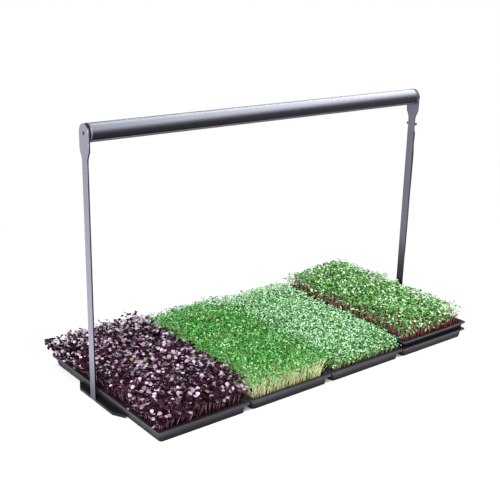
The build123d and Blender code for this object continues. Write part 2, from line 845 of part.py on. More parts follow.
def cord_tube(points):
    """A tube along straight runs joined by arcs as large as the runs allow."""
    radii = []
    for before, corner, after in zip(points, points[1:], points[2:]):
        first = Vector(*corner) - Vector(*before)
        second = Vector(*after) - Vector(*corner)
        turn = radians(first.get_angle(second))
        radii.append(cord_run_share * min(first.length, second.length) / tan(turn / 2))
    print("cord radii", [round(r) for r in radii])
    with BuildPart() as tube:
        with BuildLine() as path:
            FilletPolyline(*points, radius=radii)
        with BuildSketch(Plane(path.line @ 0, z_dir=path.line % 0)):
            Circle(cord_radius)
        sweep(path=path.wires()[0])
    length = path.wires()[0].length
    print("cord length", length, "volume", tube.part.volume)
    print("section x length", pi * cord_radius**2 * length)
    return tube


finish(cord_tube(cord_route), "power_cord")
finish(cord_tube(cord_tail_route), "cord_tail")


# Coil: one unbroken tube that spirals in on the floor, climbs a layer and spirals out on top.
def coil_point(turns):
    """A point on the coil's centre line, so many turns from its start."""
    from_middle = turns - coil_turns / 2
    radius = coil_inner_radius + coil_pitch * abs(from_middle)
    climbed = min(max(2 * from_middle + 0.5, 0), 1)
    height = cord_radius + coil_pitch * climbed**2 * (3 - 2 * climbed)
    angle = pi / 2 + 2 * pi * turns
    return Vector(
        coil_centre[0] + radius * cos(angle), coil_centre[1] + radius * sin(angle), height
    )


def coil_tangent(turns):
    """The direction of the centre line, square to the radius at its two ends."""
    angle = pi / 2 + 2 * pi * turns
    if turns in (0, coil_turns):
        return Vector(-sin(angle), cos(angle), 0)
    step = 1 / (4 * coil_samples)
    return (coil_point(turns + step) - coil_point(turns - step)).normalized()


def coil_arcs():
    """Two arcs for each quarter turn, tangent to each other and to their neighbours."""
    quarters = 4 * coil_turns
    for n in range(quarters):
        start = coil_point(n / 4)
        end = coil_point((n + 1) / 4)
        leaving = coil_tangent(n / 4)
        arriving = coil_tangent((n + 1) / 4)
        chord = end - start
        along = chord.dot(leaving + arriving)
        spread = 2 * (1 - leaving.dot(arriving))
        reach = (sqrt(along**2 + spread * chord.dot(chord)) - along) / spread
        middle = (start + end + (leaving - arriving) * reach) / 2
        crossing = ((end - arriving * reach) - (start + leaving * reach)).normalized()
        TangentArc(start, middle, tangent=leaving)
        TangentArc(middle, end, tangent=crossing)


with BuildPart() as cord_coil:
    with BuildLine() as winding:
        coil_arcs()
    with BuildSketch(Plane(coil_point(0), z_dir=coil_tangent(0))):
        Circle(cord_radius)
    sweep(path=winding.wires()[0])
finish(cord_coil, "cord_coil")

samples = coil_samples * coil_turns
centre_line = [winding.wires()[0] @ (n / samples) for n in range(samples + 1)]
least_gap = min(
    (a - b).length - cord_diameter
    for i, a in enumerate(centre_line)
    for b in centre_line[i + ceil(samples / coil_turns / 2) :]
)
print("coil least gap to itself", round(least_gap, 3), "length", winding.wires()[0].length)

# Plug: a moulded body that lies on the floor, with a tapered relief and three pins.
tail_end = Vector(*cord_tail_route[-1])
plug_direction = (tail_end - Vector(*cord_tail_route[-2])).normalized()
plug_plane = Plane(
    origin=(tail_end.X, tail_end.Y, plug_height / 2),
    x_dir=(-plug_direction.Y, plug_direction.X, 0),
    z_dir=plug_direction,
)
body_start = plug_relief_length + plug_neck_length
with BuildPart() as power_plug:
    with BuildSketch(plug_plane):
        Circle(plug_relief_radius)
    with BuildSketch(plug_plane.offset(plug_relief_length)):
        Circle(plug_neck_radius)
    loft()
    with BuildSketch(plug_plane.offset(plug_relief_length)):
        Circle(plug_neck_radius)
    with BuildSketch(plug_plane.offset(body_start)):
        RectangleRounded(plug_width, plug_height, plug_corner_radius)
    loft()
    with BuildSketch(plug_plane.offset(body_start)):
        RectangleRounded(plug_width, plug_height, plug_corner_radius)
    with BuildSketch(plug_plane.offset(body_start + plug_length)):
        RectangleRounded(
            plug_width * plug_face_share, plug_height * plug_face_share, plug_corner_radius
        )
    loft()
finish(power_plug, "power_plug")

with BuildPart() as plug_pins:
    face_plane = plug_plane.offset(body_start + plug_length)
    with BuildSketch(face_plane):
        with Locations((-blade_spacing / 2, blade_rise), (blade_spacing / 2, blade_rise)):
            Rectangle(blade_thickness, blade_width)
    extrude(amount=blade_length)
    with BuildSketch(face_plane):
        with Locations((0, -ground_pin_drop)):
            Circle(ground_pin_radius)
    extrude(amount=ground_pin_length)
finish(plug_pins, "plug_pins")
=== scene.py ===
"""Microgreens growing kit: four planted trays under a tube lamp on two flat legs."""

import math

import bpy
import numpy as np
from bpy.props import FloatProperty, FloatVectorProperty, IntProperty, PointerProperty
from bpy.types import NodeSocket, Operator, Panel, PropertyGroup
from mathutils import Matrix, Vector


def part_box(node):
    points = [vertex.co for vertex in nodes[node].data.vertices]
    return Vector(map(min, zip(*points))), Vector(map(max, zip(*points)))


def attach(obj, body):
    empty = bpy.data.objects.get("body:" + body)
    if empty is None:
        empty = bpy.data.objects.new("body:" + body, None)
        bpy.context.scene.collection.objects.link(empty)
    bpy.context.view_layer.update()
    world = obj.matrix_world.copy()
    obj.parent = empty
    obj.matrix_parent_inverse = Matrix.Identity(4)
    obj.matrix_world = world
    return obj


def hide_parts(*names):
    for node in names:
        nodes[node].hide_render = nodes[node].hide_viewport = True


bl_info = {
    "name": "Microgreens growing kit",
    "version": (1, 0, 0),
    "blender": (4, 5, 0),
    "location": "3D Viewport > Sidebar > Growing kit",
    "description": "Plants, dresses and lights a microgreens growing kit around its solid model",
    "category": "Object",
}

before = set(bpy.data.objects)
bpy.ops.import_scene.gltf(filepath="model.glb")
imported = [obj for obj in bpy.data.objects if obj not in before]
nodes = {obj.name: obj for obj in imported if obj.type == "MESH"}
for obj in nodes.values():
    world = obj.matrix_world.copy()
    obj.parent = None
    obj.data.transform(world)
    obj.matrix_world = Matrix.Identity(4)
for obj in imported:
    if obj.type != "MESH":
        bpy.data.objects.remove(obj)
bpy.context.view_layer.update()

MILLIMETRE = 0.001
PHOTO_WIDTH = 500
SENSOR_WIDTH = 36.0
CAMERA_CLIP = (0.05, 60.0)
SHARP_ANGLE = math.radians(70)

# Leaves and stems lie on their map by tint, each tint in a column of this width.
SKIN_MAP = "OFBake"
SKIN_COLUMN_SHARE = 0.01

# Painted shade: heights in metres and how light the finish is there. The reservoir trays' heights
# are shares of their rim's, and the growing trays' are counted from their rim.
RESERVOIR_SHADE_BANDS = ((0.25, 0.12), (0.45, 0.42), (0.65, 0.95), (1.0, 0.95))
GROWER_SHADE_BANDS = ((-0.010, 0.02), (-0.007, 0.9), (0.0, 1.0))
LEFT_LEG_SHADE_BANDS = (
    (0.005, 0.28), (0.03, 0.38), (0.07, 0.70), (0.13, 1.0), (0.28, 1.0), (0.45, 0.92), (0.63, 0.82),
    (0.74, 0.82),
)
RIGHT_LEG_SHADE_BANDS = ((0.14, 0.40), (0.205, 0.76), (0.245, 1.0))
# Painted shade on a tray's upward faces, darker the more a face looks up
UPWARD_SHADE_BANDS = ((0.55, 1.0), (0.9, 0.25))  # by how far a tray's face looks up
# Painted light and shade that differ from tray to tray: how light each tray's plastic is, left to
# right
TRAY_LIGHT_AND_SHADE = (0.82, 1.05, 1.05, 1.2)

# Scales of painted steel's patches, uneven gloss and orange peel
PATCH_SCALE = 11.0
GLOSS_SCALE = 45.0
PEEL_SCALE = 900.0

# Planting, with lengths in metres, and strips along the edges as shares of the bed
STEM_MARGIN = 0.004
STEM_DEPTH = 0.003
CANOPY_REACH = 0.009  # of the leaves above the crop's solid
CELL_SPREAD = (0.04, 0.96)  # where a seedling may stand in its own cell
EDGE_SHARE = 0.12  # strip where the crown falls away
EDGE_CURVE = 1.6
EDGE_SPREAD = (0.7, 1.3)  # how much of that fall a seedling follows
HILLS = ((0.06, 0.12), (0.035, 0.04))  # share of the height, and width
TALLER_SHARE = 0.04  # of the tallest above the crown
SHORTER_SHARE = 0.45  # of the smallest below the tallest
FRINGE_SHARE = 0.05  # strip where short seedlings grow
SHORT_SHARES = (0.45, 0.85)  # height of a short one beside its neighbours
# Painted shade along the crop's edges: the strip where light leaves are lost
EDGE_SHADE_SHARE = 0.24  # strip where light leaves are lost

# Stems
STEM_RINGS = 4
STEM_SIDES = 3
STEM_SIZES = (0.7, 1.25)
STEM_TAPER = 0.45  # share of the radius lost by the tip
LEAN_CURVE = 6  # power by which stems lean out more towards the rim
LEAN_INWARD = 0.004  # most that the outer stems lean in
LEAF_ROOM = 0.6  # between a tip and the crop's reach, as a share of a leaf's length
RIM_SHARE = 0.9  # of the way from middle to edge: from here a stem stands by the rim
STRAY = 0.005  # of a tip, to any side
STRAY_BY_RIM = 0.0075
RIM_CLEARANCE = 0.004  # between the rim and the bend of a stem by it
BEND_SHARE = 0.15  # of the way from foot to tip, seen from above
BEND_STRAY = 0.003
CLUMP_REACH = 0.008  # beyond the others' reach, to front and back

# Leaves, with angles in radians
LEAF_SIZES = (0.72, 1.12)
LEAF_TURN = 0.35
LEAF_RISE = (0.26, 0.36)  # mean and spread
LEAF_ROLL = 0.33
LEAF_CURL = -0.12
LEAF_FOLD = 0.3  # rise of its sides, as a share of half its width
LEAF_THICKNESS = 0.035  # of its length, as the curl
YOUNG_LEAF_SHARE = 0.45  # of the seedlings have a young leaf
YOUNG_LEAF_SIZE = 0.7
YOUNG_LEAF_DROP = 0.15  # of the way from the tip to the bend

# Outlines of seed leaves, as shares of length and half width: places along the leaf with its width
# there, and the place of its far end, which is drawn in at the notch of a heart
HEART_LEAF = (((0.14, 0.36), (0.42, 0.86), (0.76, 1.0), (1.0, 0.52)), 0.84)
OVAL_LEAF = (((0.3, 0.86), (0.72, 0.9)), 1.0)

# A crop's row of leaf colours, and where plain, light and odd leaves lie in it. The light leaves
# are partly lighter leaves and partly painted highlights. Part of a plain leaf's tint is its
# seedling's.
LEAF_COLOURS = (
    (0.12, "leaf_dark"), (0.48, "leaf_middle"), (0.62, "leaf_middle"), (0.93, "leaf_light"),
    (0.955, "leaf_light"), (0.965, "leaf_odd"),
)
SEEDLING_TINT = 0.2
PLAIN_TINT = 0.36
LIGHT_AND_HIGHLIGHT_TINTS = (0.66, 0.94)
ODD_TINTS = (0.968, 1.0)

# The growing medium's slab
SLAB_STEPS = (56, 112)
SLAB_INSET = 0.003
SLAB_DROP = 0.0012
SLAB_HILLS = (0.0008, 0.05)  # height and width
CRUMB_HEIGHT = 0.0004

# The floor's stops, as multiples of its shaded half sides: shaded to the first, plain from the
# second to the third, and white from the last
FLOOR_STOPS = (0.99, 1.02, 1.5, 6.0)
FLOOR_LEVEL = -0.0006
FLOOR_SHOWN = (0.96, 0.96, 0.96)

# Studio lights: name, place, aim, size, power and colour
STUDIO_LIGHTS = (
    ("overhead", (1.3, -1.15, 2.4), (0.1, 0.0, 0.2), (2.4, 0.8), 106.0, (0.98, 0.99, 1.0)),
    ("left side", (-2.0, -0.7, 0.9), (-0.4, 0.0, 0.3), (1.2, 1.2), 66.0, (0.97, 0.97, 1.0)),
    ("front", (0.1, -2.4, 1.0), (0.0, 0.0, 0.05), (1.8, 0.8), 36.0, (1.0, 1.0, 0.98)),
    ("tube strip", (1.5, -1.5, 2.05), (1.5, -1.5, 0.7), (3.4, 5.4), 1600.0, (0.88, 0.92, 1.0)),
)


# Settings


def field(kind, **fixed):
    """A maker of settings of one kind, each with its own name, description and default."""
    def make(name, description, default):
        return kind(name=name, description=description, default=default, **fixed)
    return make


length = field(FloatProperty, unit="LENGTH")
angle = field(FloatProperty, unit="ROTATION")
share = field(FloatProperty, min=0.0, max=1.0, subtype="FACTOR")
pixels = field(FloatProperty, subtype="PIXEL")
count = field(IntProperty, min=1)
colour = field(FloatVectorProperty, size=3, subtype="COLOR")
place = field(FloatVectorProperty, size=3, subtype="TRANSLATION")
shares = field(FloatVectorProperty, size=4)
lengths = field(FloatVectorProperty, size=4, unit="LENGTH")

CROP_FIELDS = {
    "seed": (count, "Start of this crop's random draws"),
    "seedlings": (count, "How many grow in the tray"),
    "leaf_length": (length, "Length of a seed leaf"),
    "leaf_width": (share, "Width of a leaf as a share of its length"),
    "stem_radius": (length, "Radius of a stem at its foot"),
    "tops": (lengths, "Height at front left, front right, back left and back right"),
    "edge_drops": (shares, "Share of its height lost at each edge"),
    "fringe": (shares, "Share of short seedlings along each edge"),
    "spills": (lengths, "How far leaves hang past each rim"),
    "bare": (lengths, "Width left unplanted along each edge"),
    "uneven": (share, "How much the seedlings differ in height"),
    # Light leaves are partly painted highlights.
    "light_share": (share, "Share of leaves that are light"),
    # Painted shade: light leaves lost along each edge.
    "edge_dims": (shares, "Share of the light leaves lost by each edge"),
    "odd_share": (share, "Share of leaves of another colour"),
    "leaf_dark": (colour, "Darkest leaves"),
    "leaf_middle": (colour, "Most leaves"),
    "leaf_light": (colour, "Lightest leaves"),
    "leaf_odd": (colour, "The few leaves of another colour"),
    "stem_foot": (colour, "Stem at its foot"),
    "stem_middle": (colour, "Stem half way up"),
    "stem_top": (colour, "Stem below its leaves"),
    "stem_dark": (share, "How light the darkest stems are"),
    "wax": (share, "Strength of the leaves' shine"),
    "gloss": (share, "Roughness of the leaves' shine"),
}


def crop_fields(**own):
    """The settings of one crop. Lists for the edges run left, right, front, back."""
    nowhere = (0.0, 0.0, 0.0, 0.0)
    defaults = {"bare": nowhere, "edge_dims": nowhere, "wax": 0.008, "gloss": 0.5, **own}
    return {
        name: kind(name.replace("_", " ").capitalize(), description, defaults[name])
        for name, (kind, description) in CROP_FIELDS.items()
    }


class KIT_PG_purple(PropertyGroup):
    """The first tray: dark purple heart-shaped leaves on pink stems."""

    __annotations__ = crop_fields(
        seed=11, seedlings=2350, leaf_length=0.0120, leaf_width=0.88, stem_radius=0.0009,
        tops=(0.082, 0.092, 0.081, 0.100), edge_drops=(0.24, 0.10, 0.28, 0.14),
        fringe=(0.6, 0.2, 0.28, 0.75), spills=(0.010, 0.009, 0.002, 0.017),
        bare=(0.0, 0.0, 0.006, 0.0), uneven=0.13, light_share=0.39,
        edge_dims=(0.3, 0.0, 0.5, 0.0), odd_share=0.015,
        leaf_dark=(0.002, 0.0003, 0.001), leaf_middle=(0.046, 0.009, 0.027),
        leaf_light=(0.58, 0.46, 0.55), leaf_odd=(0.15, 0.19, 0.08),
        stem_foot=(0.05, 0.012, 0.020), stem_middle=(0.80, 0.38, 0.49),
        stem_top=(0.12, 0.02, 0.045), stem_dark=0.05, gloss=0.4,
    )


class KIT_PG_green(PropertyGroup):
    """The second tray: bright green fine leaves on tall pale stems."""

    __annotations__ = crop_fields(
        seed=22, seedlings=6060, leaf_length=0.0071, leaf_width=0.58, stem_radius=0.0006,
        tops=(0.082, 0.090, 0.078, 0.089), edge_drops=(0.04, 0.04, 0.06, 0.16),
        fringe=(0.5, 0.05, 0.24, 0.3), spills=(-0.004, 0.001, -0.003, 0.002),
        bare=(0.0, 0.008, 0.002, 0.0), uneven=0.12, light_share=0.31,
        odd_share=0.05,
        leaf_dark=(0.001, 0.05, 0.001), leaf_middle=(0.053, 0.40, 0.035),
        leaf_light=(0.36, 0.65, 0.32), leaf_odd=(0.48, 0.70, 0.38),
        stem_foot=(0.78, 0.80, 0.40), stem_middle=(0.98, 1.0, 0.66),
        stem_top=(0.62, 1.0, 0.36), stem_dark=0.62,
    )


class KIT_PG_mint(PropertyGroup):
    """The third tray: pale mint green fine leaves."""

    __annotations__ = crop_fields(
        seed=33, seedlings=6150, leaf_length=0.0073, leaf_width=0.66, stem_radius=0.0006,
        tops=(0.073, 0.070, 0.079, 0.080), edge_drops=(0.0, 0.06, 0.20, 0.10),
        fringe=(0.2, 0.6, 0.5, 0.3), spills=(0.0, -0.001, -0.001, 0.001),
        uneven=0.10, light_share=0.43,
        edge_dims=(0.0, 0.0, 0.3, 0.0), odd_share=0.04,
        leaf_dark=(0.010, 0.105, 0.009), leaf_middle=(0.33, 0.67, 0.30),
        leaf_light=(0.57, 0.79, 0.55), leaf_odd=(0.25, 0.60, 0.09),
        stem_foot=(0.16, 0.15, 0.07), stem_middle=(0.72, 0.86, 0.44),
        stem_top=(0.45, 0.80, 0.34), stem_dark=0.3,
    )


class KIT_PG_red_stem(PropertyGroup):
    """The fourth, deeper tray: green leaves on dark red stems."""

    __annotations__ = crop_fields(
        seed=44, seedlings=4200, leaf_length=0.0088, leaf_width=0.74, stem_radius=0.0008,
        tops=(0.102, 0.102, 0.097, 0.112), edge_drops=(0.32, 0.10, 0.16, 0.10),
        fringe=(0.4, 0.4, 0.5, 0.3), spills=(0.0, -0.010, -0.003, 0.0),
        bare=(0.0, 0.016, 0.0, 0.0), uneven=0.12, light_share=0.36,
        edge_dims=(0.4, 0.0, 0.0, 0.0), odd_share=0.04,
        leaf_dark=(0.015, 0.13, 0.012), leaf_middle=(0.15, 0.42, 0.085),
        leaf_light=(0.70, 0.88, 0.60), leaf_odd=(0.40, 0.60, 0.14),
        stem_foot=(0.12, 0.02, 0.028), stem_middle=(0.66, 0.20, 0.24),
        stem_top=(0.84, 0.60, 0.54), stem_dark=0.2,
    )


class KIT_PG_finish(PropertyGroup):
    """Colours of the trays, the stand, the lamp and the lead."""

    tray: colour("Tray", "Moulded tray plastic", (0.052, 0.045, 0.056))
    medium: colour("Medium", "Growing medium", (0.018, 0.012, 0.008))
    leg: colour("Leg", "Metallic coat on the outer side of the legs", (0.37, 0.37, 0.45))
    # Painted shade: the legs' inner side and narrow edges are darker than their coat. The edge
    # colour is also the clip's own plastic.
    leg_inside_shade: colour("Leg inside", "Metallic coat on the inner side", (0.170, 0.152, 0.196))
    leg_edge_shade_and_clip: colour("Leg edge", "Coat on the narrow edges of the legs", (0.045, 0.035, 0.055))
    foot: colour("Foot paint", "Powder coat of the feet", (0.006, 0.006, 0.008))
    # The tube's near-black is partly its own dark satin and partly painted shade for its dark lower
    # half; its bright top is the strip lamp's reflection.
    housing: colour("Housing", "Coat of the lamp's tube", (0.0016, 0.0012, 0.0024))
    cap: colour("Cap", "Coat of the lamp's end caps", (0.12, 0.115, 0.145))
    # Painted shade: the diffuser is a white frosted strip, darkened to grey as in the lamp's own
    # shade.
    diffuser: colour("Diffuser", "Smoked strip below the lamp", (0.11, 0.10, 0.115))
    board: colour("Board", "Lacquer of the board with the LEDs", (0.8, 0.8, 0.78))
    chip: colour("Chip", "Lenses of the LEDs", (0.85, 0.66, 0.14))
    driver: colour("Driver", "Case of the driver", (0.55, 0.55, 0.53))
    black: colour("Black", "Black plastic and cord jacket", (0.012, 0.012, 0.013))
    steel: colour("Steel", "Screws, nut and sleeve", (0.60, 0.60, 0.62))
    dark_steel: colour("Dark steel", "Blackened screw in the left leg", (0.06, 0.055, 0.065))
    brass: colour("Pins", "Pins of the plug", (0.78, 0.60, 0.30))


class KIT_PG_lead(PropertyGroup):
    """The mains lead, from the elbow on the right leg to its plug."""

    diameter: length("Diameter", "Thickness of the cord", 0.0055)
    total: length("Length", "Length from the relief to the plug", 1.86)
    coil_x: length("Coil X", "Middle of the put-away coil", 0.490)
    coil_y: length("Coil Y", "Middle of the put-away coil", 0.325)
    coil_radius: length("Coil radius", "Radius of the smallest turn", 0.024)
    coil_gap: length("Coil gap", "Air between two turns", 0.0007)
    coil_turns: count("Coil turns", "Turns, half of them in each layer", 4)
    turn_points: count("Turn points", "Control points in each turn", 24)


class KIT_PG_stage(PropertyGroup):
    """Camera, floor and lights."""

    focal: pixels("Focal length", "In pixels of the photograph", 909.878)
    camera: place("Camera", "Place of the camera", (-1.58086, -1.89574, 1.11392))
    yaw: angle("Yaw", "Turn to the right of +Y", 0.67116)
    pitch: angle("Pitch", "Tilt above the horizon", -0.31568)
    roll: angle("Roll", "Turn about the line of sight", 0.02229)
    floor_size: length("Floor size", "Side of the floor", 14.0)
    backdrop_share: share("Backdrop share", "How white the floor is beyond its shade", 0.88)
    shaded_x: length("Shaded X", "Half width of the floor below the trays", 0.552)
    shaded_y: length("Shaded Y", "Half depth of the floor below the trays", 0.2655)
    floor: colour("Floor", "Colour of the floor under the light", (0.42, 0.42, 0.42))
    sky: colour("Sky", "Soft light from all round", (0.86, 0.90, 1.0))
    sky_strength: share("Sky strength", "Strength of the soft light", 0.48)


SETTINGS = {
    "kit_purple": KIT_PG_purple,
    "kit_green": KIT_PG_green,
    "kit_mint": KIT_PG_mint,
    "kit_red_stem": KIT_PG_red_stem,
    "kit_finish": KIT_PG_finish,
    "kit_lead": KIT_PG_lead,
    "kit_stage": KIT_PG_stage,
}

# The crops in the trays from left to right: kind, its seed leaves, and how far it is combed to
# the right and back, as shares of its height.
CROPS = (
    ("purple", HEART_LEAF, (0.0, 0.0)),
    ("green", OVAL_LEAF, (0.10, 0.03)),
    ("mint", OVAL_LEAF, (0.05, -0.04)),
    ("red_stem", OVAL_LEAF, (0.02, 0.0)),
)

# Clumps that stand out of the crop in a tray: place as shares of the tray's width and depth, how
# many seedlings, spread as shares, height of their tips, and lean to the right and back as shares
# of it.
CLUMPS = {
    1: (
        ((0.02, 0.93), 150, (0.03, 0.06), 0.062, (-0.46, 0.04)),
        ((0.02, 0.76), 70, (0.02, 0.05), 0.068, (-0.26, 0.0)),
        ((0.05, 0.03), 55, (0.04, 0.03), 0.064, (-0.16, -0.30)),
    ),
    2: (((0.93, 0.02), 70, (0.03, 0.03), 0.094, (0.02, -0.06)),),
}

# The lead's route in millimetres: out of the relief, through the clip, down behind the leg in
# slight waves, onto the floor, back along the last tray and round to the coil.
LEAD_ROUTE = (
    (578, 15, 658), (578, 15, 633), (578, 15.3, 607), (578.3, 6.4, 586),
    (577.9, 8, 565), (578.2, 8.6, 545), (577.9, 6.4, 526), (578.1, 6.6, 508),
    (578.5, 7.4, 480), (578, 7.2, 440), (577.8, 8.4, 388), (578.3, 8.6, 330),
    (578.8, 9.4, 266), (578.2, 9.4, 202), (578, 12.2, 140), (578.4, 17.2, 92),
    (579.2, 25.6, 51), (580.4, 44.2, 19.6), (582.2, 78.6, 2.75), (584.2, 120, 2.75),
    (585.4, 164, 2.75), (584.6, 210, 2.75), (580.4, 257, 2.75), (570, 298, 2.75),
    (551, 333, 2.75), (526, 354, 2.75), (507, 361.4, 2.75),
)
LEAD_TAIL = (
    (474, 361.4, 8.95), (456, 360.2, 8.3), (437, 356.6, 8.6), (420, 351, 10),
    (404, 345.73, 10),
)


# Materials


def add_node(tree, kind, inputs=None, **settings):
    """Adds a shader node. Each input is a value, or the output of another node."""
    made = tree.nodes.new("ShaderNode" + kind)
    for key, value in settings.items():
        setattr(made, key, value)
    for socket, value in (inputs or {}).items():
        if isinstance(value, NodeSocket):
            tree.links.new(value, made.inputs[socket])
        else:
            made.inputs[socket].default_value = value
    return made


def shade(value, factor):
    """A colour made darker or lighter by a factor."""
    return tuple(min(part * factor, 1.0) for part in value)


class Finish:
    """A material under construction, which gets its nodes one by one."""

    def __init__(self, name, roughness, shine=0.5, metallic=0.0):
        self.material = bpy.data.materials.new(name)
        self.material.use_nodes = True
        self.tree = self.material.node_tree
        self.surface = self.tree.nodes["Principled BSDF"]
        self.surface.inputs["Roughness"].default_value = roughness
        self.surface.inputs["Specular IOR Level"].default_value = shine
        self.surface.inputs["Metallic"].default_value = metallic

    def add(self, kind, inputs=None, **settings):
        return add_node(self.tree, kind, inputs, **settings)

    def place(self, scale=(1, 1, 1)):
        """The point on the piece in metres, stretched by scale."""
        where = self.add("TexCoord").outputs["Object"]
        return self.add("Mapping", {"Vector": where, "Scale": scale}).outputs["Vector"]

    def part(self, vector, axis):
        return self.add("SeparateXYZ", {0: vector}).outputs[axis]

    def facing(self, axis):
        """How far the surface looks along an axis, from minus one to one."""
        return self.part(self.add("TexCoord").outputs["Normal"], axis)

    def own(self, name):
        """A number that the mesh holds for each of its points."""
        return self.add("Attribute", attribute_name=name).outputs["Fac"]

    def noise(self, scale, detail=3.0, roughness=0.55, stretch=(1, 1, 1)):
        return self.add("TexNoise", {
            "Vector": self.place(stretch), "Scale": scale, "Detail": detail,
            "Roughness": roughness,
        }).outputs["Fac"]

    def ramp(self, factor, stops):
        made = self.add("ValToRGB", {"Fac": factor})
        elements = made.color_ramp.elements
        while len(elements) < len(stops):
            elements.new(0.5)
        for element, (position, value) in zip(elements, stops):
            element.position = position
            element.color = (*value, 1.0)
        return made.outputs["Color"]

    def grey_ramp(self, factor, *stops):
        return self.ramp(factor, [(position, (value,) * 3) for position, value in stops])

    def shade_by_height(self, shade_bands):
        """Painted shade: how light the piece is at each of a few heights in metres."""
        highest = shade_bands[-1][0]
        return self.grey_ramp(
            self.maths("DIVIDE", self.part(self.place(), "Z"), highest),
            *((level / highest, light) for level, light in shade_bands),
        )

    def patched(self, pattern, value, darker, lighter, at=0.25):
        """A colour that goes from darker to lighter with a pattern."""
        return self.ramp(pattern, [(at, shade(value, darker)), (1 - at, shade(value, lighter))])

    def glossed(self, pattern, roughness, smoother, rougher, until=0.7):
        """A roughness that goes from smoother to rougher with a pattern."""
        return self.grey_ramp(pattern, (0.3, roughness - smoother), (until, roughness + rougher))

    def mix(self, factor, first, second, blend="MIX"):
        inputs = {0: factor}
        for socket, value in ((6, first), (7, second)):
            linked = isinstance(value, NodeSocket)
            inputs[socket] = value if linked else (*value, 1.0)
        return self.add("Mix", inputs, data_type="RGBA", blend_type=blend).outputs[2]

    def times(self, first, second):
        return self.mix(1.0, first, second, "MULTIPLY")

    def maths(self, operation, first, second):
        return self.add("Math", {0: first, 1: second}, operation=operation).outputs[0]

    def bump(self, height, strength, distance):
        return self.add(
            "Bump", {"Height": height, "Strength": strength, "Distance": distance}
        ).outputs["Normal"]

    def join(self, base, gloss=None, normal=None):
        """The finished material, with what its colour, roughness and relief come from."""
        for socket, value in (("Base Color", base), ("Roughness", gloss), ("Normal", normal)):
            if value is not None:
                self.tree.links.new(value, self.surface.inputs[socket])
        return self.material


def plastic(name, value, roughness, grain, depth, shade_bands=None):
    """Moulded plastic with a fine grain, paler scuffs and uneven gloss.

    Shade bands give heights and how light the plastic is there, as painted shade, and its upward
    faces then get painted shade too.
    """
    made = Finish(name, roughness, 0.12)
    body = made.patched(made.noise(7.0, detail=5.0), value, 0.8, 1.18, at=0.3)
    scuff = made.grey_ramp(made.noise(60.0, detail=6.0, roughness=0.7), (0.52, 0.0), (0.72, 0.5))
    base = made.mix(scuff, body, shade(value, 1.55))
    # Painted shade: darker by height, and darker on upward faces.
    if shade_bands:
        base = made.times(base, made.shade_by_height(shade_bands))
        base = made.times(base, made.grey_ramp(made.facing("Z"), *UPWARD_SHADE_BANDS))
    gloss = made.glossed(made.noise(25.0), roughness, 0.08, 0.1, until=0.75)
    grained = made.bump(made.noise(grain), 0.35, depth)
    return made.join(base, gloss, grained)


def powder_coat(name, value, roughness):
    """Baked powder paint: an orange-peel skin with slightly darker and lighter patches."""
    made = Finish(name, roughness, 0.2)
    base = made.patched(made.noise(PATCH_SCALE, detail=5.0), value, 0.9, 1.08)
    gloss = made.glossed(made.noise(GLOSS_SCALE), roughness, 0.06, 0.08)
    peel = made.bump(made.noise(PEEL_SCALE), 0.25, 0.0004)
    return made.join(base, gloss, peel)


def bar_coat(name, outward, outside, edge, inside, roughness, metallic, shade_bands):
    """Satin metallic coat of a flat bar, with painted shade: dark on its narrow edges and darker on
    its inner side.

    Outward is one where the bar's outer side faces +X, and minus one where it faces -X. Shade
    bands give heights and how light the coat is there, as painted shade.
    """
    made = Finish(name, roughness, 0.3, metallic)
    # Painted shade: the narrow edges and the inner side get their darker colours by which way the
    # face looks.
    turned = made.maths("ADD", made.maths("MULTIPLY", made.facing("X"), outward / 2), 0.5)
    sides = made.ramp(turned, [(0.12, inside), (0.26, edge), (0.74, edge), (0.88, outside)])
    patches = made.grey_ramp(made.noise(PATCH_SCALE, detail=5.0), (0.25, 0.88), (0.75, 1.0))
    gloss = made.glossed(made.noise(GLOSS_SCALE), roughness, 0.05, 0.06)
    peel = made.bump(made.noise(PEEL_SCALE), 0.2, 0.0003)
    base = made.times(made.times(sides, patches), made.shade_by_height(shade_bands))
    return made.join(base, gloss, peel)


def satin_coat(name, value, roughness):
    """Near-black coat over an extruded tube, faintly streaked along X: partly the tube's own dark
    satin, partly painted shade.
    """
    made = Finish(name, roughness, 0.16)
    made.surface.inputs["Specular Tint"].default_value = (0.9, 0.9, 1.0, 1.0)
    lines = made.noise(260.0, detail=4.0, stretch=(0.02, 1, 1))
    base = made.patched(lines, value, 0.8, 1.2)
    return made.join(base, made.glossed(lines, roughness, 0.03, 0.04))


def drawn_metal(name, value, roughness, metallic):
    """Metal or metallic coat with fine cloudy marks, as drawing and turning leave them."""
    made = Finish(name, roughness, metallic=metallic)
    marks = made.noise(420.0, detail=4.0)
    base = made.patched(marks, value, 0.88, 1.1)
    gloss = made.glossed(marks, roughness, 0.05, 0.08)
    return made.join(base, gloss, made.bump(marks, 0.15, 0.0002))


def leaf_finish(name, crop):
    """Leaf colours by the leaf's own number, mottled, with paler veins and a waxy gloss; the light
    colour is partly painted highlight.
    """
    made = Finish(name, crop.gloss, crop.wax)
    tint = made.own("tint")
    along = made.own("along")
    base = made.ramp(tint, [(at, getattr(crop, part)) for at, part in LEAF_COLOURS])
    skin = made.add("CombineXYZ", {0: made.maths("MULTIPLY", tint, 90.0), 1: along})
    cells = made.add(
        "TexNoise", {"Vector": skin.outputs[0], "Scale": 4.0, "Detail": 3.0}
    ).outputs["Fac"]
    mottled = made.times(base, made.grey_ramp(cells, (0.3, 0.72), (0.7, 1.0)))
    pale = made.grey_ramp(made.own("rib"), (0.6, 0.0), (1.0, 0.03))
    return made.join(made.mix(pale, mottled, crop.leaf_light))


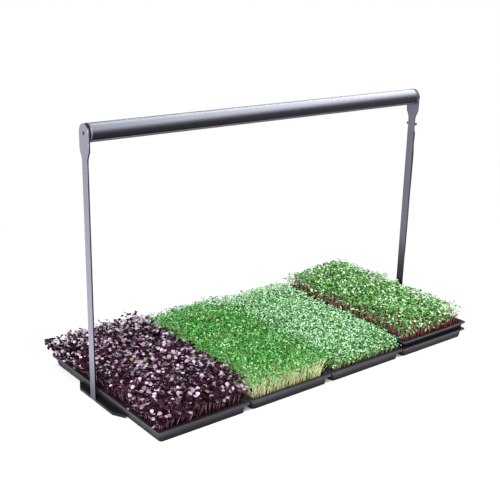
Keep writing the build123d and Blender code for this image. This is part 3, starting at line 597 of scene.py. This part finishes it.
def stem_finish(name, crop):
    """Stem colours from foot to tip, a little different for each stem."""
    made = Finish(name, 0.45, 0.01)
    base = made.ramp(
        made.own("along"),
        [(0.12, crop.stem_foot), (0.5, crop.stem_middle), (0.95, crop.stem_top)],
    )
    each = made.grey_ramp(
        made.own("tint"), (0.0, crop.stem_dark), (0.6, 0.5 + 0.5 * crop.stem_dark), (1.0, 1.0)
    )
    return made.join(made.times(base, each))


def medium_finish(value):
    """Dark, damp fibres with pale crumbs."""
    made = Finish("growing medium", 0.85, 0.03)
    crumbs = made.noise(220.0, detail=8.0, roughness=0.75)
    base = made.ramp(
        crumbs, [(0.3, shade(value, 0.4)), (0.55, value), (0.72, shade(value, 3.5))]
    )
    return made.join(base, normal=made.bump(crumbs, 0.9, 0.002))


def paint(material, *names):
    """Puts a material on every slot of solids that show as they are."""
    for name in names:
        slots = nodes[name].material_slots
        for slot in slots:
            slot.material = material
        if not slots:
            nodes[name].data.materials.append(material)


# Meshes


def mesh_object(name, points, triangles, material, numbers=None, skin=None):
    """A mesh object from arrays of points and triangles, with numbers for each of its points.

    The skin gives each point a place on a map where equal colours lie together.
    """
    mesh = bpy.data.meshes.new(name)
    mesh.vertices.add(len(points))
    mesh.vertices.foreach_set("co", points.astype(np.float32).ravel())
    mesh.loops.add(triangles.size)
    mesh.loops.foreach_set("vertex_index", triangles.astype(np.int32).ravel())
    mesh.polygons.add(len(triangles))
    mesh.polygons.foreach_set("loop_start", np.arange(0, triangles.size, 3, dtype=np.int32))
    mesh.update(calc_edges=True)
    mesh.validate()
    mesh.polygons.foreach_set("use_smooth", np.ones(len(mesh.polygons), bool))
    mesh.set_sharp_from_angle(angle=SHARP_ANGLE)
    for key, values in (numbers or {}).items():
        made = mesh.attributes.new(key, "FLOAT", "POINT")
        made.data.foreach_set("value", values.astype(np.float32).ravel())
    if skin is not None:
        corner_points = np.empty(len(mesh.loops), np.int32)
        mesh.loops.foreach_get("vertex_index", corner_points)
        places = mesh.uv_layers.new(name=SKIN_MAP).uv
        places.foreach_set("vector", skin.astype(np.float32)[corner_points].ravel())
    mesh.materials.append(material)
    placed = bpy.data.objects.new(name, mesh)
    bpy.context.scene.collection.objects.link(placed)
    return placed


def like_shapes(name, points, template, tints, material, side, **numbers):
    """A mesh of many like shapes, each with its own tint and with its points in one row.

    The template gives a shape's triangles. Side and the other numbers are the same in each shape.
    """
    number, each = points.shape[:2]
    steps = np.arange(number)[:, None, None] * each
    numbers = {key: np.tile(values, number) for key, values in numbers.items()}
    numbers["tint"] = np.repeat(tints, each)
    column = numbers["tint"] * (1 - SKIN_COLUMN_SHARE) + np.tile(side, number) * SKIN_COLUMN_SHARE
    return mesh_object(
        name, points.reshape(-1, 3), (np.array(template) + steps).reshape(-1, 3), material,
        numbers, np.column_stack([column, numbers["along"]]),
    )


def ring_template(rings, sides, first=0):
    """Triangles from ring to ring and on to a tip. The first ring starts at the point first."""
    triangles = []
    for ring in range(first, first + (rings - 1) * sides, sides):
        for side in range(sides):
            low, low_next = ring + side, ring + (side + 1) % sides
            triangles += [(low, low_next, low_next + sides), (low, low_next + sides, low + sides)]
    tip = first + rings * sides
    last = tip - sides
    triangles += [(last + side, last + (side + 1) % sides, tip) for side in range(sides)]
    return triangles


def stem_template():
    """Triangles of a closed stem: rings of points, a tip, and a flat foot."""
    foot = [(0, side + 1, side) for side in range(1, STEM_SIDES - 1)]
    return ring_template(STEM_RINGS, STEM_SIDES) + foot


def leaf_template(stations):
    """Triangles of a closed leaf: at each station a left, top, right and underside point.

    The stem's end of the leaf is one point and so is its far end.
    """
    start = [(1 + (side + 1) % 4, 1 + side, 0) for side in range(4)]
    return [corners[::-1] for corners in ring_template(stations, 4, 1) + start]


def leaves_mesh(name, starts, outward, normal, sizes, width_share, leaf, tints, limits, material):
    """Many leaves, each from its start along outward, its face to normal, within its limits."""
    outline, tip_share = leaf
    number, stations = len(starts), len(outline)
    along, width = np.array(outline).T
    across = unit(np.cross(normal, outward))
    outward, normal, across = outward[:, None], normal[:, None], across[:, None]
    half = (sizes * width_share / 2)[:, None] * width
    lift = (LEAF_CURL * sizes)[:, None] * along**2
    middle = outward * (sizes[:, None] * along)[..., None] + normal * lift[..., None]
    side = across * half[..., None]
    fold = normal * (half * LEAF_FOLD)[..., None]
    sizes = sizes[:, None, None]
    thickness = normal * (sizes * LEAF_THICKNESS)
    rings = np.stack(
        [middle - side + fold, middle + thickness, middle + side + fold, middle - thickness], 2
    ).reshape(number, -1, 3)
    tip = outward * (sizes * tip_share) + normal * (LEAF_CURL * sizes * tip_share)
    points = np.concatenate([np.zeros((number, 1, 3)), rings, tip], 1) + starts[:, None]
    return like_shapes(
        name, np.clip(points, limits[0][:, None], limits[1][:, None]), leaf_template(stations),
        tints, material, side=[0.5, *(0.0, 0.5, 1.0, 0.5) * stations, 0.5],
        rib=[1.0, *(0.0, 1.0, 0.0, 1.0) * stations, 1.0],
        along=[0.0, *np.repeat(along, 4), tip_share],
    )


def stems_mesh(name, feet, bends, tips, radii, tints, material):
    """Many curved stems, each from its foot past its bend to its tip."""
    number = len(feet)
    turns = 2 * math.pi * np.arange(STEM_SIDES) / STEM_SIDES
    circle = np.stack([np.cos(turns), np.sin(turns), np.zeros(STEM_SIDES)], 1)
    rise = np.arange(STEM_RINGS) / STEM_RINGS
    t = rise[:, None]
    feet, bends, ends = feet[:, None], bends[:, None], tips[:, None]
    centres = feet * (1 - t) ** 2 + bends * 2 * t * (1 - t) + ends * t**2
    around = radii[:, None] * (1 - STEM_TAPER * rise)
    rings = centres[:, :, None] + circle * around[..., None, None]
    return like_shapes(
        name, np.concatenate([rings.reshape(number, -1, 3), ends], 1), stem_template(),
        tints, material, side=[*np.tile(np.linspace(0, 1, STEM_SIDES), STEM_RINGS), 0.5],
        along=[*np.repeat(rise, STEM_SIDES), 1.0],
    )


def unit(vectors):
    return vectors / np.linalg.norm(vectors, axis=1, keepdims=True)


def waves(draw, x, y, size, layers=7):
    """Smooth hills and hollows, from minus one to one, about size wide."""
    total = np.zeros_like(x)
    for _ in range(layers):
        turn = draw.uniform(0, 2 * math.pi)
        pace = 2 * math.pi / (size * draw.uniform(0.7, 1.6))
        total += np.sin(pace * (x * math.cos(turn) + y * math.sin(turn)) + draw.uniform(0, 6))
    return total / math.sqrt(layers)


def sow(draw, crop, number, span):
    """Where the seedlings stand, as shares of the bed: one in each cell, and the clumps' own.

    It also gives what a clump says of its seedlings: how high their tips are, and their lean.
    """
    rows = int(math.sqrt(crop.seedlings * span[1] / span[0]))
    lines = int(crop.seedlings / rows)
    grid = np.stack(np.meshgrid(np.arange(lines), np.arange(rows)), -1).reshape(-1, 2)
    spot = (grid + draw.uniform(*CELL_SPREAD, grid.shape)) / [lines, rows]
    own_top = np.full(len(spot), np.nan)
    own_lean = np.zeros((len(spot), 2))
    for middle, some, spread, clump_top, clump_lean in CLUMPS.get(number, ()):
        spot = np.append(spot, draw.normal(middle, spread, (some, 2)).clip(0, 1), 0)
        own_top = np.append(own_top, np.full(some, clump_top))
        own_lean = np.append(own_lean, np.tile(clump_lean, (some, 1)), 0)
    return spot, own_top, own_lean


def stem_heights(draw, crop, spot, edges, feet, own_top, ground):
    """How tall each seedling stands above the ground, which is the top of the medium."""
    many = len(spot)
    clumped = np.isfinite(own_top)
    front_left, front_right, back_left, back_right = crop.tops
    u, v = spot.T
    top = (front_left * (1 - u) + front_right * u) * (1 - v)
    top += (back_left * (1 - u) + back_right * u) * v
    drop = np.clip(1 - edges / EDGE_SHARE, 0, 1) ** EDGE_CURVE * np.array(crop.edge_drops)
    tall = (top - ground) * (1 - drop.max(1) * draw.uniform(*EDGE_SPREAD, many))
    tall = np.where(clumped, own_top - ground, tall)
    for height, width in HILLS:
        tall *= 1 + height * waves(draw, feet[:, 0], feet[:, 1], width)
    tall *= 1 + TALLER_SHARE - np.abs(draw.normal(0, crop.uneven, many)).clip(0, SHORTER_SHARE)
    chance = ((edges < FRINGE_SHARE) * np.array(crop.fringe)).max(1)
    short = (draw.uniform(0, 1, many) < chance) & ~clumped
    return tall * np.where(short, draw.uniform(*SHORT_SHARES, many), 1.0)


def leaf_ways(draw, turn):
    """Which way each leaf points, by its turn round the stem, and which way its face looks."""
    few = len(turn)
    turn = turn + draw.normal(0, LEAF_TURN, few)
    rise = draw.normal(*LEAF_RISE, few)
    flat = np.stack([np.cos(turn), np.sin(turn)], 1)
    way = np.column_stack([flat * np.cos(rise)[:, None], np.sin(rise)])
    up = np.column_stack([-flat * np.sin(rise)[:, None], np.cos(rise)])
    roll = draw.normal(0, LEAF_ROLL, few)[:, None]
    return way, unit(up * np.cos(roll) + np.cross(up, way) * np.sin(roll))


def leaf_tints(draw, crop, own, shown_light):
    """Each leaf's place in the crop's row of colours: a plain, light or odd one. The light ones are
    partly painted highlights.
    """
    few = len(own)
    kind = draw.uniform(0, 1, few)
    plain = own * SEEDLING_TINT + draw.uniform(0, PLAIN_TINT, few)
    light = draw.uniform(*LIGHT_AND_HIGHLIGHT_TINTS, few)
    odd = draw.uniform(*ODD_TINTS, few)
    bright = crop.odd_share + crop.light_share * shown_light
    return np.where(kind < crop.odd_share, odd, np.where(kind < bright, light, plain))


def grow(crop, number, leaf, combed):
    """Plants one tray: stems that rise from the medium, and their leaves."""
    draw = np.random.default_rng(crop.seed)
    low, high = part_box(f"growing_medium_{number}")
    rim_low, rim_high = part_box(f"growing_tray_{number}")
    canopy_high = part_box(f"microgreens_{number}")[1].z + CANOPY_REACH
    bare, spills = np.array(crop.bare), np.array(crop.spills)
    bed_low = np.array([low.x + bare[0], low.y + bare[2]]) + STEM_MARGIN
    bed_high = np.array([high.x - bare[1], high.y - bare[3]]) - STEM_MARGIN
    reach_low = np.array([rim_low.x - spills[0], rim_low.y - spills[2]])
    reach_high = np.array([rim_high.x + spills[1], rim_high.y + spills[3]])

    span = bed_high - bed_low
    spot, own_top, own_lean = sow(draw, crop, number, span)
    many = len(spot)
    feet = np.column_stack([bed_low + spot * span, np.full(many, high.z - STEM_DEPTH)])
    u, v = spot.T
    edges = np.stack([u, 1 - u, v, 1 - v], 1)
    tall = stem_heights(draw, crop, spot, edges, feet, own_top, high.z)

    sides = spot * 2 - 1
    soft = crop.leaf_length * LEAF_ROOM
    room = np.where(sides < 0, bed_low - reach_low, reach_high - bed_high) - soft
    lean = np.sign(sides) * np.abs(sides) ** LEAN_CURVE * np.maximum(room, -LEAN_INWARD)
    by_the_rim = (np.abs(sides) > RIM_SHARE).any(1)
    lean += draw.normal(0, 1, (many, 2)) * np.where(by_the_rim, STRAY_BY_RIM, STRAY)[:, None]
    lean += (np.array(combed) + own_lean) * tall[:, None]
    past = np.outer(np.isfinite(own_top), (0.0, CLUMP_REACH))
    reach_low, reach_high = reach_low - past, reach_high + past
    tips = np.column_stack([feet[:, :2] + lean, high.z + tall])
    tips[:, :2] = np.clip(tips[:, :2], reach_low + soft, reach_high - soft)
    bends = (feet + tips) / 2
    bends[:, :2] = feet[:, :2] * (1 - BEND_SHARE) + tips[:, :2] * BEND_SHARE
    bends[:, :2] += draw.normal(0, BEND_STRAY, (many, 2))
    bends[:, 2] = np.maximum(bends[:, 2], np.where(by_the_rim, rim_high.z + RIM_CLEARANCE, 0))
    bends[:, 2] = np.minimum(bends[:, 2], tips[:, 2])

    own = draw.uniform(0, 1, many)
    pieces = [stems_mesh(
        f"crop_{number}_stems", feet, bends, tips,
        crop.stem_radius * draw.uniform(*STEM_SIZES, many), own,
        stem_finish(f"crop {number} stem", crop),
    )]
    lowest = np.column_stack([reach_low, np.full(many, low.z)])
    highest = np.column_stack([reach_high, np.full(many, canopy_high)])
    finish = leaf_finish(f"crop {number} leaf", crop)
    # Painted shade: fewer light leaves near the edges.
    shade_near_edges = np.clip(1 - edges / EDGE_SHADE_SHARE, 0, 1)
    shown_light = 1 - (shade_near_edges * np.array(crop.edge_dims)).max(1)
    heading = draw.uniform(0, 2 * math.pi, many)
    young = np.flatnonzero(draw.uniform(0, 1, many) < YOUNG_LEAF_SHARE)
    for part, owners, turns, size, below in (
        ("leaves", np.tile(np.arange(many), 2), np.repeat([0.0, math.pi], many), 1.0, 0.0),
        ("young", young, np.full(len(young), math.pi / 2), YOUNG_LEAF_SIZE, YOUNG_LEAF_DROP),
    ):
        way, up = leaf_ways(draw, heading[owners] + turns)
        tints = leaf_tints(draw, crop, own[owners], shown_light[owners])
        pieces.append(leaves_mesh(
            f"crop_{number}_{part}", tips[owners] * (1 - below) + bends[owners] * below, way, up,
            crop.leaf_length * size * draw.uniform(*LEAF_SIZES, len(owners)), crop.leaf_width,
            leaf, tints, (lowest[owners], highest[owners]), finish,
        ))
    for piece in pieces:
        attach(piece, f"grower_{number}")
    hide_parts(f"microgreens_{number}")


def drawn_in(places, low, high, inset):
    """Places along a side, drawn in to its middle so that each end moves by inset."""
    middle = (low + high) / 2
    return middle + (places - middle) * (1 - inset / ((high - low) / 2))


def crumbly_slab(name, low, high, seed, material):
    """A slab whose top is uneven and whose foot is drawn in, closed all round."""
    draw = np.random.default_rng(seed)
    steps_x, steps_y = SLAB_STEPS
    x = np.linspace(low.x, high.x, steps_x)
    y = np.linspace(low.y, high.y, steps_y)
    grid_x, grid_y = (part.ravel() for part in np.meshgrid(x, y))
    hill_height, hill_width = SLAB_HILLS
    rough = waves(draw, grid_x, grid_y, hill_width) * hill_height
    rough += draw.normal(0, CRUMB_HEIGHT, len(grid_x))
    top = np.column_stack([grid_x, grid_y, high.z - SLAB_DROP + rough])
    bottom = np.column_stack([
        drawn_in(grid_x, low.x, high.x, SLAB_INSET),
        drawn_in(grid_y, low.y, high.y, SLAB_INSET),
        np.full(len(grid_x), low.z),
    ])
    grid = np.arange(steps_x * steps_y).reshape(steps_y, steps_x)
    a, b, c, d = (
        part.ravel() for part in (grid[:-1, :-1], grid[:-1, 1:], grid[1:, 1:], grid[1:, :-1])
    )
    upper = np.concatenate([np.stack([a, b, c], 1), np.stack([a, c, d], 1)])
    under = upper[:, ::-1] + len(top)
    ring = np.concatenate([grid[0, :-1], grid[:-1, -1], grid[-1, :0:-1], grid[:0:-1, 0]])
    after = np.roll(ring, -1)
    wall = np.concatenate([
        np.stack([ring, ring + len(top), after + len(top)], 1),
        np.stack([ring, after + len(top), after], 1),
    ])
    return mesh_object(
        name, np.concatenate([top, bottom]), np.concatenate([upper, under, wall]), material
    )


def metres(route):
    return [tuple(part * MILLIMETRE for part in point) for point in route]


# Operators


class KIT_OT_grow_crops(Operator):
    """Plant the four growing trays with their seedlings"""

    bl_idname = "kit.grow_crops"
    bl_label = "Grow crops"

    def execute(self, context):
        for number, (kind, leaf, combed) in enumerate(CROPS, 1):
            settings = getattr(context.scene, f"kit_{kind}")
            grow(settings, number, leaf, combed)
        return {"FINISHED"}


class KIT_OT_fill_medium(Operator):
    """Fill each growing tray with damp, crumbly growing medium"""

    bl_idname = "kit.fill_medium"
    bl_label = "Fill growing medium"

    def execute(self, context):
        material = medium_finish(context.scene.kit_finish.medium)
        for number in range(1, len(CROPS) + 1):
            low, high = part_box(f"growing_medium_{number}")
            slab = crumbly_slab(f"medium_{number}", low, high, number, material)
            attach(slab, f"grower_{number}")
            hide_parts(f"growing_medium_{number}")
        return {"FINISHED"}


class KIT_OT_dress_trays(Operator):
    """Give the reservoir and growing trays their moulded plastic"""

    bl_idname = "kit.dress_trays"
    bl_label = "Dress trays"

    def execute(self, context):
        for number, tone in enumerate(TRAY_LIGHT_AND_SHADE, 1):
            value = shade(context.scene.kit_finish.tray, tone)
            reservoir, grower = f"reservoir_tray_{number}", f"growing_tray_{number}"
            rim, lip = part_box(reservoir)[1].z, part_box(grower)[1].z
            # Painted shade by height: the reservoirs darker towards the floor, the growing trays'
            # walls dark under their lip.
            for tray, name, shade_bands in (
                (reservoir, "reservoir", [(rim * part, light) for part, light in RESERVOIR_SHADE_BANDS]),
                (grower, "tray", [(lip + above, light) for above, light in GROWER_SHADE_BANDS]),
            ):
                finish = plastic(f"{name} plastic {number}", value, 0.42, 700.0, 0.0003, shade_bands)
                paint(finish, tray)
        return {"FINISHED"}


class KIT_OT_dress_stand(Operator):
    """Paint the legs and feet, and finish their pads and screws"""

    bl_idname = "kit.dress_stand"
    bl_label = "Dress stand"

    def execute(self, context):
        finish = context.scene.kit_finish
        # Each leg's coat gets painted shade by height from its shade bands.
        for leg, outward, metallic, shade_bands in (
            ("left", -1, 0.9, LEFT_LEG_SHADE_BANDS), ("right", 1, 0.6, RIGHT_LEG_SHADE_BANDS),
        ):
            paint(bar_coat(
                f"leg coat {leg}", outward, finish.leg, finish.leg_edge_shade_and_clip, finish.leg_inside_shade,
                0.32, metallic, shade_bands,
            ), f"leg_{leg}")
        paint(powder_coat("foot paint", finish.foot, 0.4), "foot_left", "foot_right")
        paint(
            drawn_metal("screw steel", finish.steel, 0.3, 1.0), "foot_screws", "elbow_screws",
            "pivot_nut", "pivot_sleeve", "board_screws", "driver_screws",
        )
        paint(
            drawn_metal("blackened screw", finish.dark_steel, 0.4, 1.0), "pivot_screw",
            "end_cap_screws",
        )
        paint(
            plastic("pad rubber", finish.black, 0.75, 500.0, 0.0004), "foot_pads", "pivot_washers"
        )
        return {"FINISHED"}


class KIT_OT_dress_lamp(Operator):
    """Finish the lamp's tube, caps, diffuser and what is inside it"""

    bl_idname = "kit.dress_lamp"
    bl_label = "Dress lamp"

    def execute(self, context):
        finish = context.scene.kit_finish
        paint(satin_coat("housing coat", finish.housing, 0.4), "lamp_housing")
        paint(drawn_metal("cap coat", finish.cap, 0.4, 0.8), "end_cap_left", "end_cap_right")
        for node, name, value, roughness, grain, depth in (
            ("diffuser", "diffuser in painted shade", finish.diffuser, 0.5, 900.0, 0.0002),
            ("led_board", "board lacquer", finish.board, 0.35, 300.0, 0.0001),
            ("led_chips", "chip lens", finish.chip, 0.2, 900.0, 0.0001),
            ("driver", "driver case", finish.driver, 0.45, 500.0, 0.0002),
            ("inner_lead", "inner jacket", finish.black, 0.45, 800.0, 0.0002),
        ):
            paint(plastic(name, value, roughness, grain, depth), node)
        return {"FINISHED"}


class KIT_OT_lay_lead(Operator):
    """Run the mains lead down the right leg to its coil and plug"""

    bl_idname = "kit.lay_lead"
    bl_label = "Lay mains lead"

    def execute(self, context):
        finish, lead = context.scene.kit_finish, context.scene.kit_lead
        jacket = plastic("cord jacket", finish.black, 0.42, 900.0, 0.0002)
        moulding = plastic("moulded black", finish.black, 0.5, 600.0, 0.0003)
        paint(moulding, "cord_elbow", "power_plug")
        # The clip's own plastic shares the colour of the legs' painted edge shade.
        paint(plastic("clip plastic", finish.leg_edge_shade_and_clip, 0.45, 600.0, 0.0003), "cable_clip")
        paint(drawn_metal("pin brass", finish.brass, 0.28, 1.0), "plug_pins")

        pitch = lead.diameter + lead.coil_gap
        points = metres(LEAD_ROUTE)
        steps = lead.coil_turns * lead.turn_points
        # Half of the turns wind in on the floor, and the rest wind out on top of them. The cord
        # climbs in half a turn, in the middle.
        for step in range(steps + 1):
            turns = step / lead.turn_points
            from_middle = turns - lead.coil_turns / 2
            radius = lead.coil_radius + pitch * abs(from_middle)
            climbed = min(max(2 * from_middle + 0.5, 0), 1)
            turned = math.pi / 2 + 2 * math.pi * turns
            points.append((
                lead.coil_x + radius * math.cos(turned),
                lead.coil_y + radius * math.sin(turned),
                lead.diameter / 2 + pitch * climbed**2 * (3 - 2 * climbed),
            ))
        points += metres(LEAD_TAIL)

        curve = bpy.data.curves.new("mains_lead", "CURVE")
        curve.dimensions = "3D"
        curve.bevel_depth = lead.diameter / 2
        curve.bevel_resolution = 5
        curve.use_fill_caps = True
        curve.resolution_u = 6
        spline = curve.splines.new("NURBS")
        spline.points.add(len(points) - 1)
        for control, point in zip(spline.points, points):
            control.co = (*point, 1.0)
        spline.order_u = 3
        spline.use_endpoint_u = True
        curve.materials.append(jacket)
        cord = bpy.data.objects.new("mains_lead", curve)
        context.scene.collection.objects.link(cord)
        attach(cord, "stand")
        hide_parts("power_cord", "cord_coil", "cord_tail")
        return {"FINISHED"}


class KIT_OT_set_stage(Operator):
    """Set the camera, the floor, the sky and the studio lights"""

    bl_idname = "kit.set_stage"
    bl_label = "Set stage"

    def execute(self, context):
        scene, stage = context.scene, context.scene.kit_stage
        scene.view_settings.view_transform = "Standard"
        self.place_camera(scene, stage)
        self.lay_floor(scene, stage)
        self.light_sky(scene, stage)
        lights = {row[0]: self.hang_light(scene, *row) for row in STUDIO_LIGHTS}
        tubes = bpy.data.collections.new("lit by the strip")
        tubes.objects.link(nodes["lamp_housing"])
        lights["tube strip"].light_linking.receiver_collection = tubes
        return {"FINISHED"}

    @staticmethod
    def hang_light(scene, name, spot, aim, size, power, tone):
        lamp = bpy.data.lights.new(name, "AREA")
        lamp.shape = "RECTANGLE"
        lamp.size, lamp.size_y = size
        lamp.energy = power
        lamp.color = tone
        placed = bpy.data.objects.new(name, lamp)
        placed.location = spot
        placed.rotation_mode = "QUATERNION"
        placed.rotation_quaternion = (Vector(aim) - Vector(spot)).to_track_quat("-Z", "Y")
        scene.collection.objects.link(placed)
        return placed

    @staticmethod
    def place_camera(scene, stage):
        camera = bpy.data.objects.new("camera", bpy.data.cameras.new("camera"))
        camera.data.sensor_width = SENSOR_WIDTH
        camera.data.lens = stage.focal / PHOTO_WIDTH * SENSOR_WIDTH
        camera.data.clip_start, camera.data.clip_end = CAMERA_CLIP
        camera.matrix_world = (
            Matrix.Translation(stage.camera)
            @ Matrix.Rotation(-stage.yaw, 4, "Z")
            @ Matrix.Rotation(math.pi / 2 + stage.pitch, 4, "X")
            @ Matrix.Rotation(stage.roll, 4, "Z")
        )
        scene.collection.objects.link(camera)
        scene.camera = camera

    @staticmethod
    def background_share(tree):
        """One for rays from the camera, and for mirror and see-through ones."""
        rays = add_node(tree, "LightPath").outputs
        shown = rays["Is Camera Ray"]
        for kind in ("Is Glossy Ray", "Is Transmission Ray"):
            shown = add_node(
                tree, "Math", {0: shown, 1: rays[kind]}, operation="MAXIMUM"
            ).outputs[0]
        return shown

    def lay_floor(self, scene, stage):
        half = stage.floor_size / 2
        mesh = bpy.data.meshes.new("floor")
        mesh.from_pydata(
            [(-half, -half, 0), (half, -half, 0), (half, half, 0), (-half, half, 0)], [],
            [(0, 1, 2, 3)],
        )
        floor = bpy.data.objects.new("floor", mesh)
        floor.location.z = FLOOR_LEVEL
        made = Finish("floor", 0.9, 0.1)
        shown = self.background_share(made.tree)
        made.join(made.mix(shown, stage.floor, FLOOR_SHOWN))
        where = made.place()
        out_x, out_y = (
            made.maths("ABSOLUTE", made.maths("DIVIDE", made.part(where, axis), half_side), 0.0)
            for axis, half_side in (("X", stage.shaded_x), ("Y", stage.shaded_y))
        )
        shaded, plain_from, plain_to, white_from = FLOOR_STOPS
        away = made.maths("DIVIDE", made.maths("MAXIMUM", out_x, out_y), white_from)
        plain = made.grey_ramp(
            away, (shaded / white_from, 0.0), (plain_from / white_from, stage.backdrop_share),
            (plain_to / white_from, stage.backdrop_share), (1.0, 1.0),
        )
        white = made.add("Emission")
        blend = made.add("MixShader", {
            0: made.maths("MULTIPLY", shown, plain), 1: made.surface.outputs[0],
            2: white.outputs[0],
        })
        output = made.tree.nodes["Material Output"]
        made.tree.links.new(blend.outputs[0], output.inputs["Surface"])
        mesh.materials.append(made.material)
        scene.collection.objects.link(floor)

    def light_sky(self, scene, stage):
        world = bpy.data.worlds.new("studio")
        world.use_nodes = True
        tree = world.node_tree
        soft = tree.nodes["Background"]
        soft.inputs["Color"].default_value = (*stage.sky, 1.0)
        soft.inputs["Strength"].default_value = stage.sky_strength
        white = add_node(tree, "Background", {"Color": (1.0, 1.0, 1.0, 1.0)})
        blend = add_node(tree, "MixShader", {
            0: self.background_share(tree), 1: soft.outputs[0], 2: white.outputs[0],
        })
        tree.links.new(blend.outputs[0], tree.nodes["World Output"].inputs["Surface"])
        scene.world = world


OPERATORS = (
    KIT_OT_set_stage,
    KIT_OT_lay_lead,
    KIT_OT_dress_trays,
    KIT_OT_dress_stand,
    KIT_OT_dress_lamp,
    KIT_OT_fill_medium,
    KIT_OT_grow_crops,
)


class KIT_PT_panel(Panel):
    bl_idname = "KIT_PT_panel"
    bl_label = "Growing kit"
    bl_space_type = "VIEW_3D"
    bl_region_type = "UI"
    bl_category = "Growing kit"

    def draw(self, context):
        for operator in OPERATORS:
            self.layout.operator(operator.bl_idname)


CLASSES = (*SETTINGS.values(), *OPERATORS, KIT_PT_panel)


def register():
    for made in CLASSES:
        bpy.utils.register_class(made)
    for name, settings in SETTINGS.items():
        setattr(bpy.types.Scene, name, PointerProperty(type=settings))


def unregister():
    for name in SETTINGS:
        delattr(bpy.types.Scene, name)
    for made in reversed(CLASSES):
        bpy.utils.unregister_class(made)


def main():
    register()
    for operator in OPERATORS:
        group, step = operator.bl_idname.split(".")
        getattr(getattr(bpy.ops, group), step)()


if __name__ == "__main__":
    main()
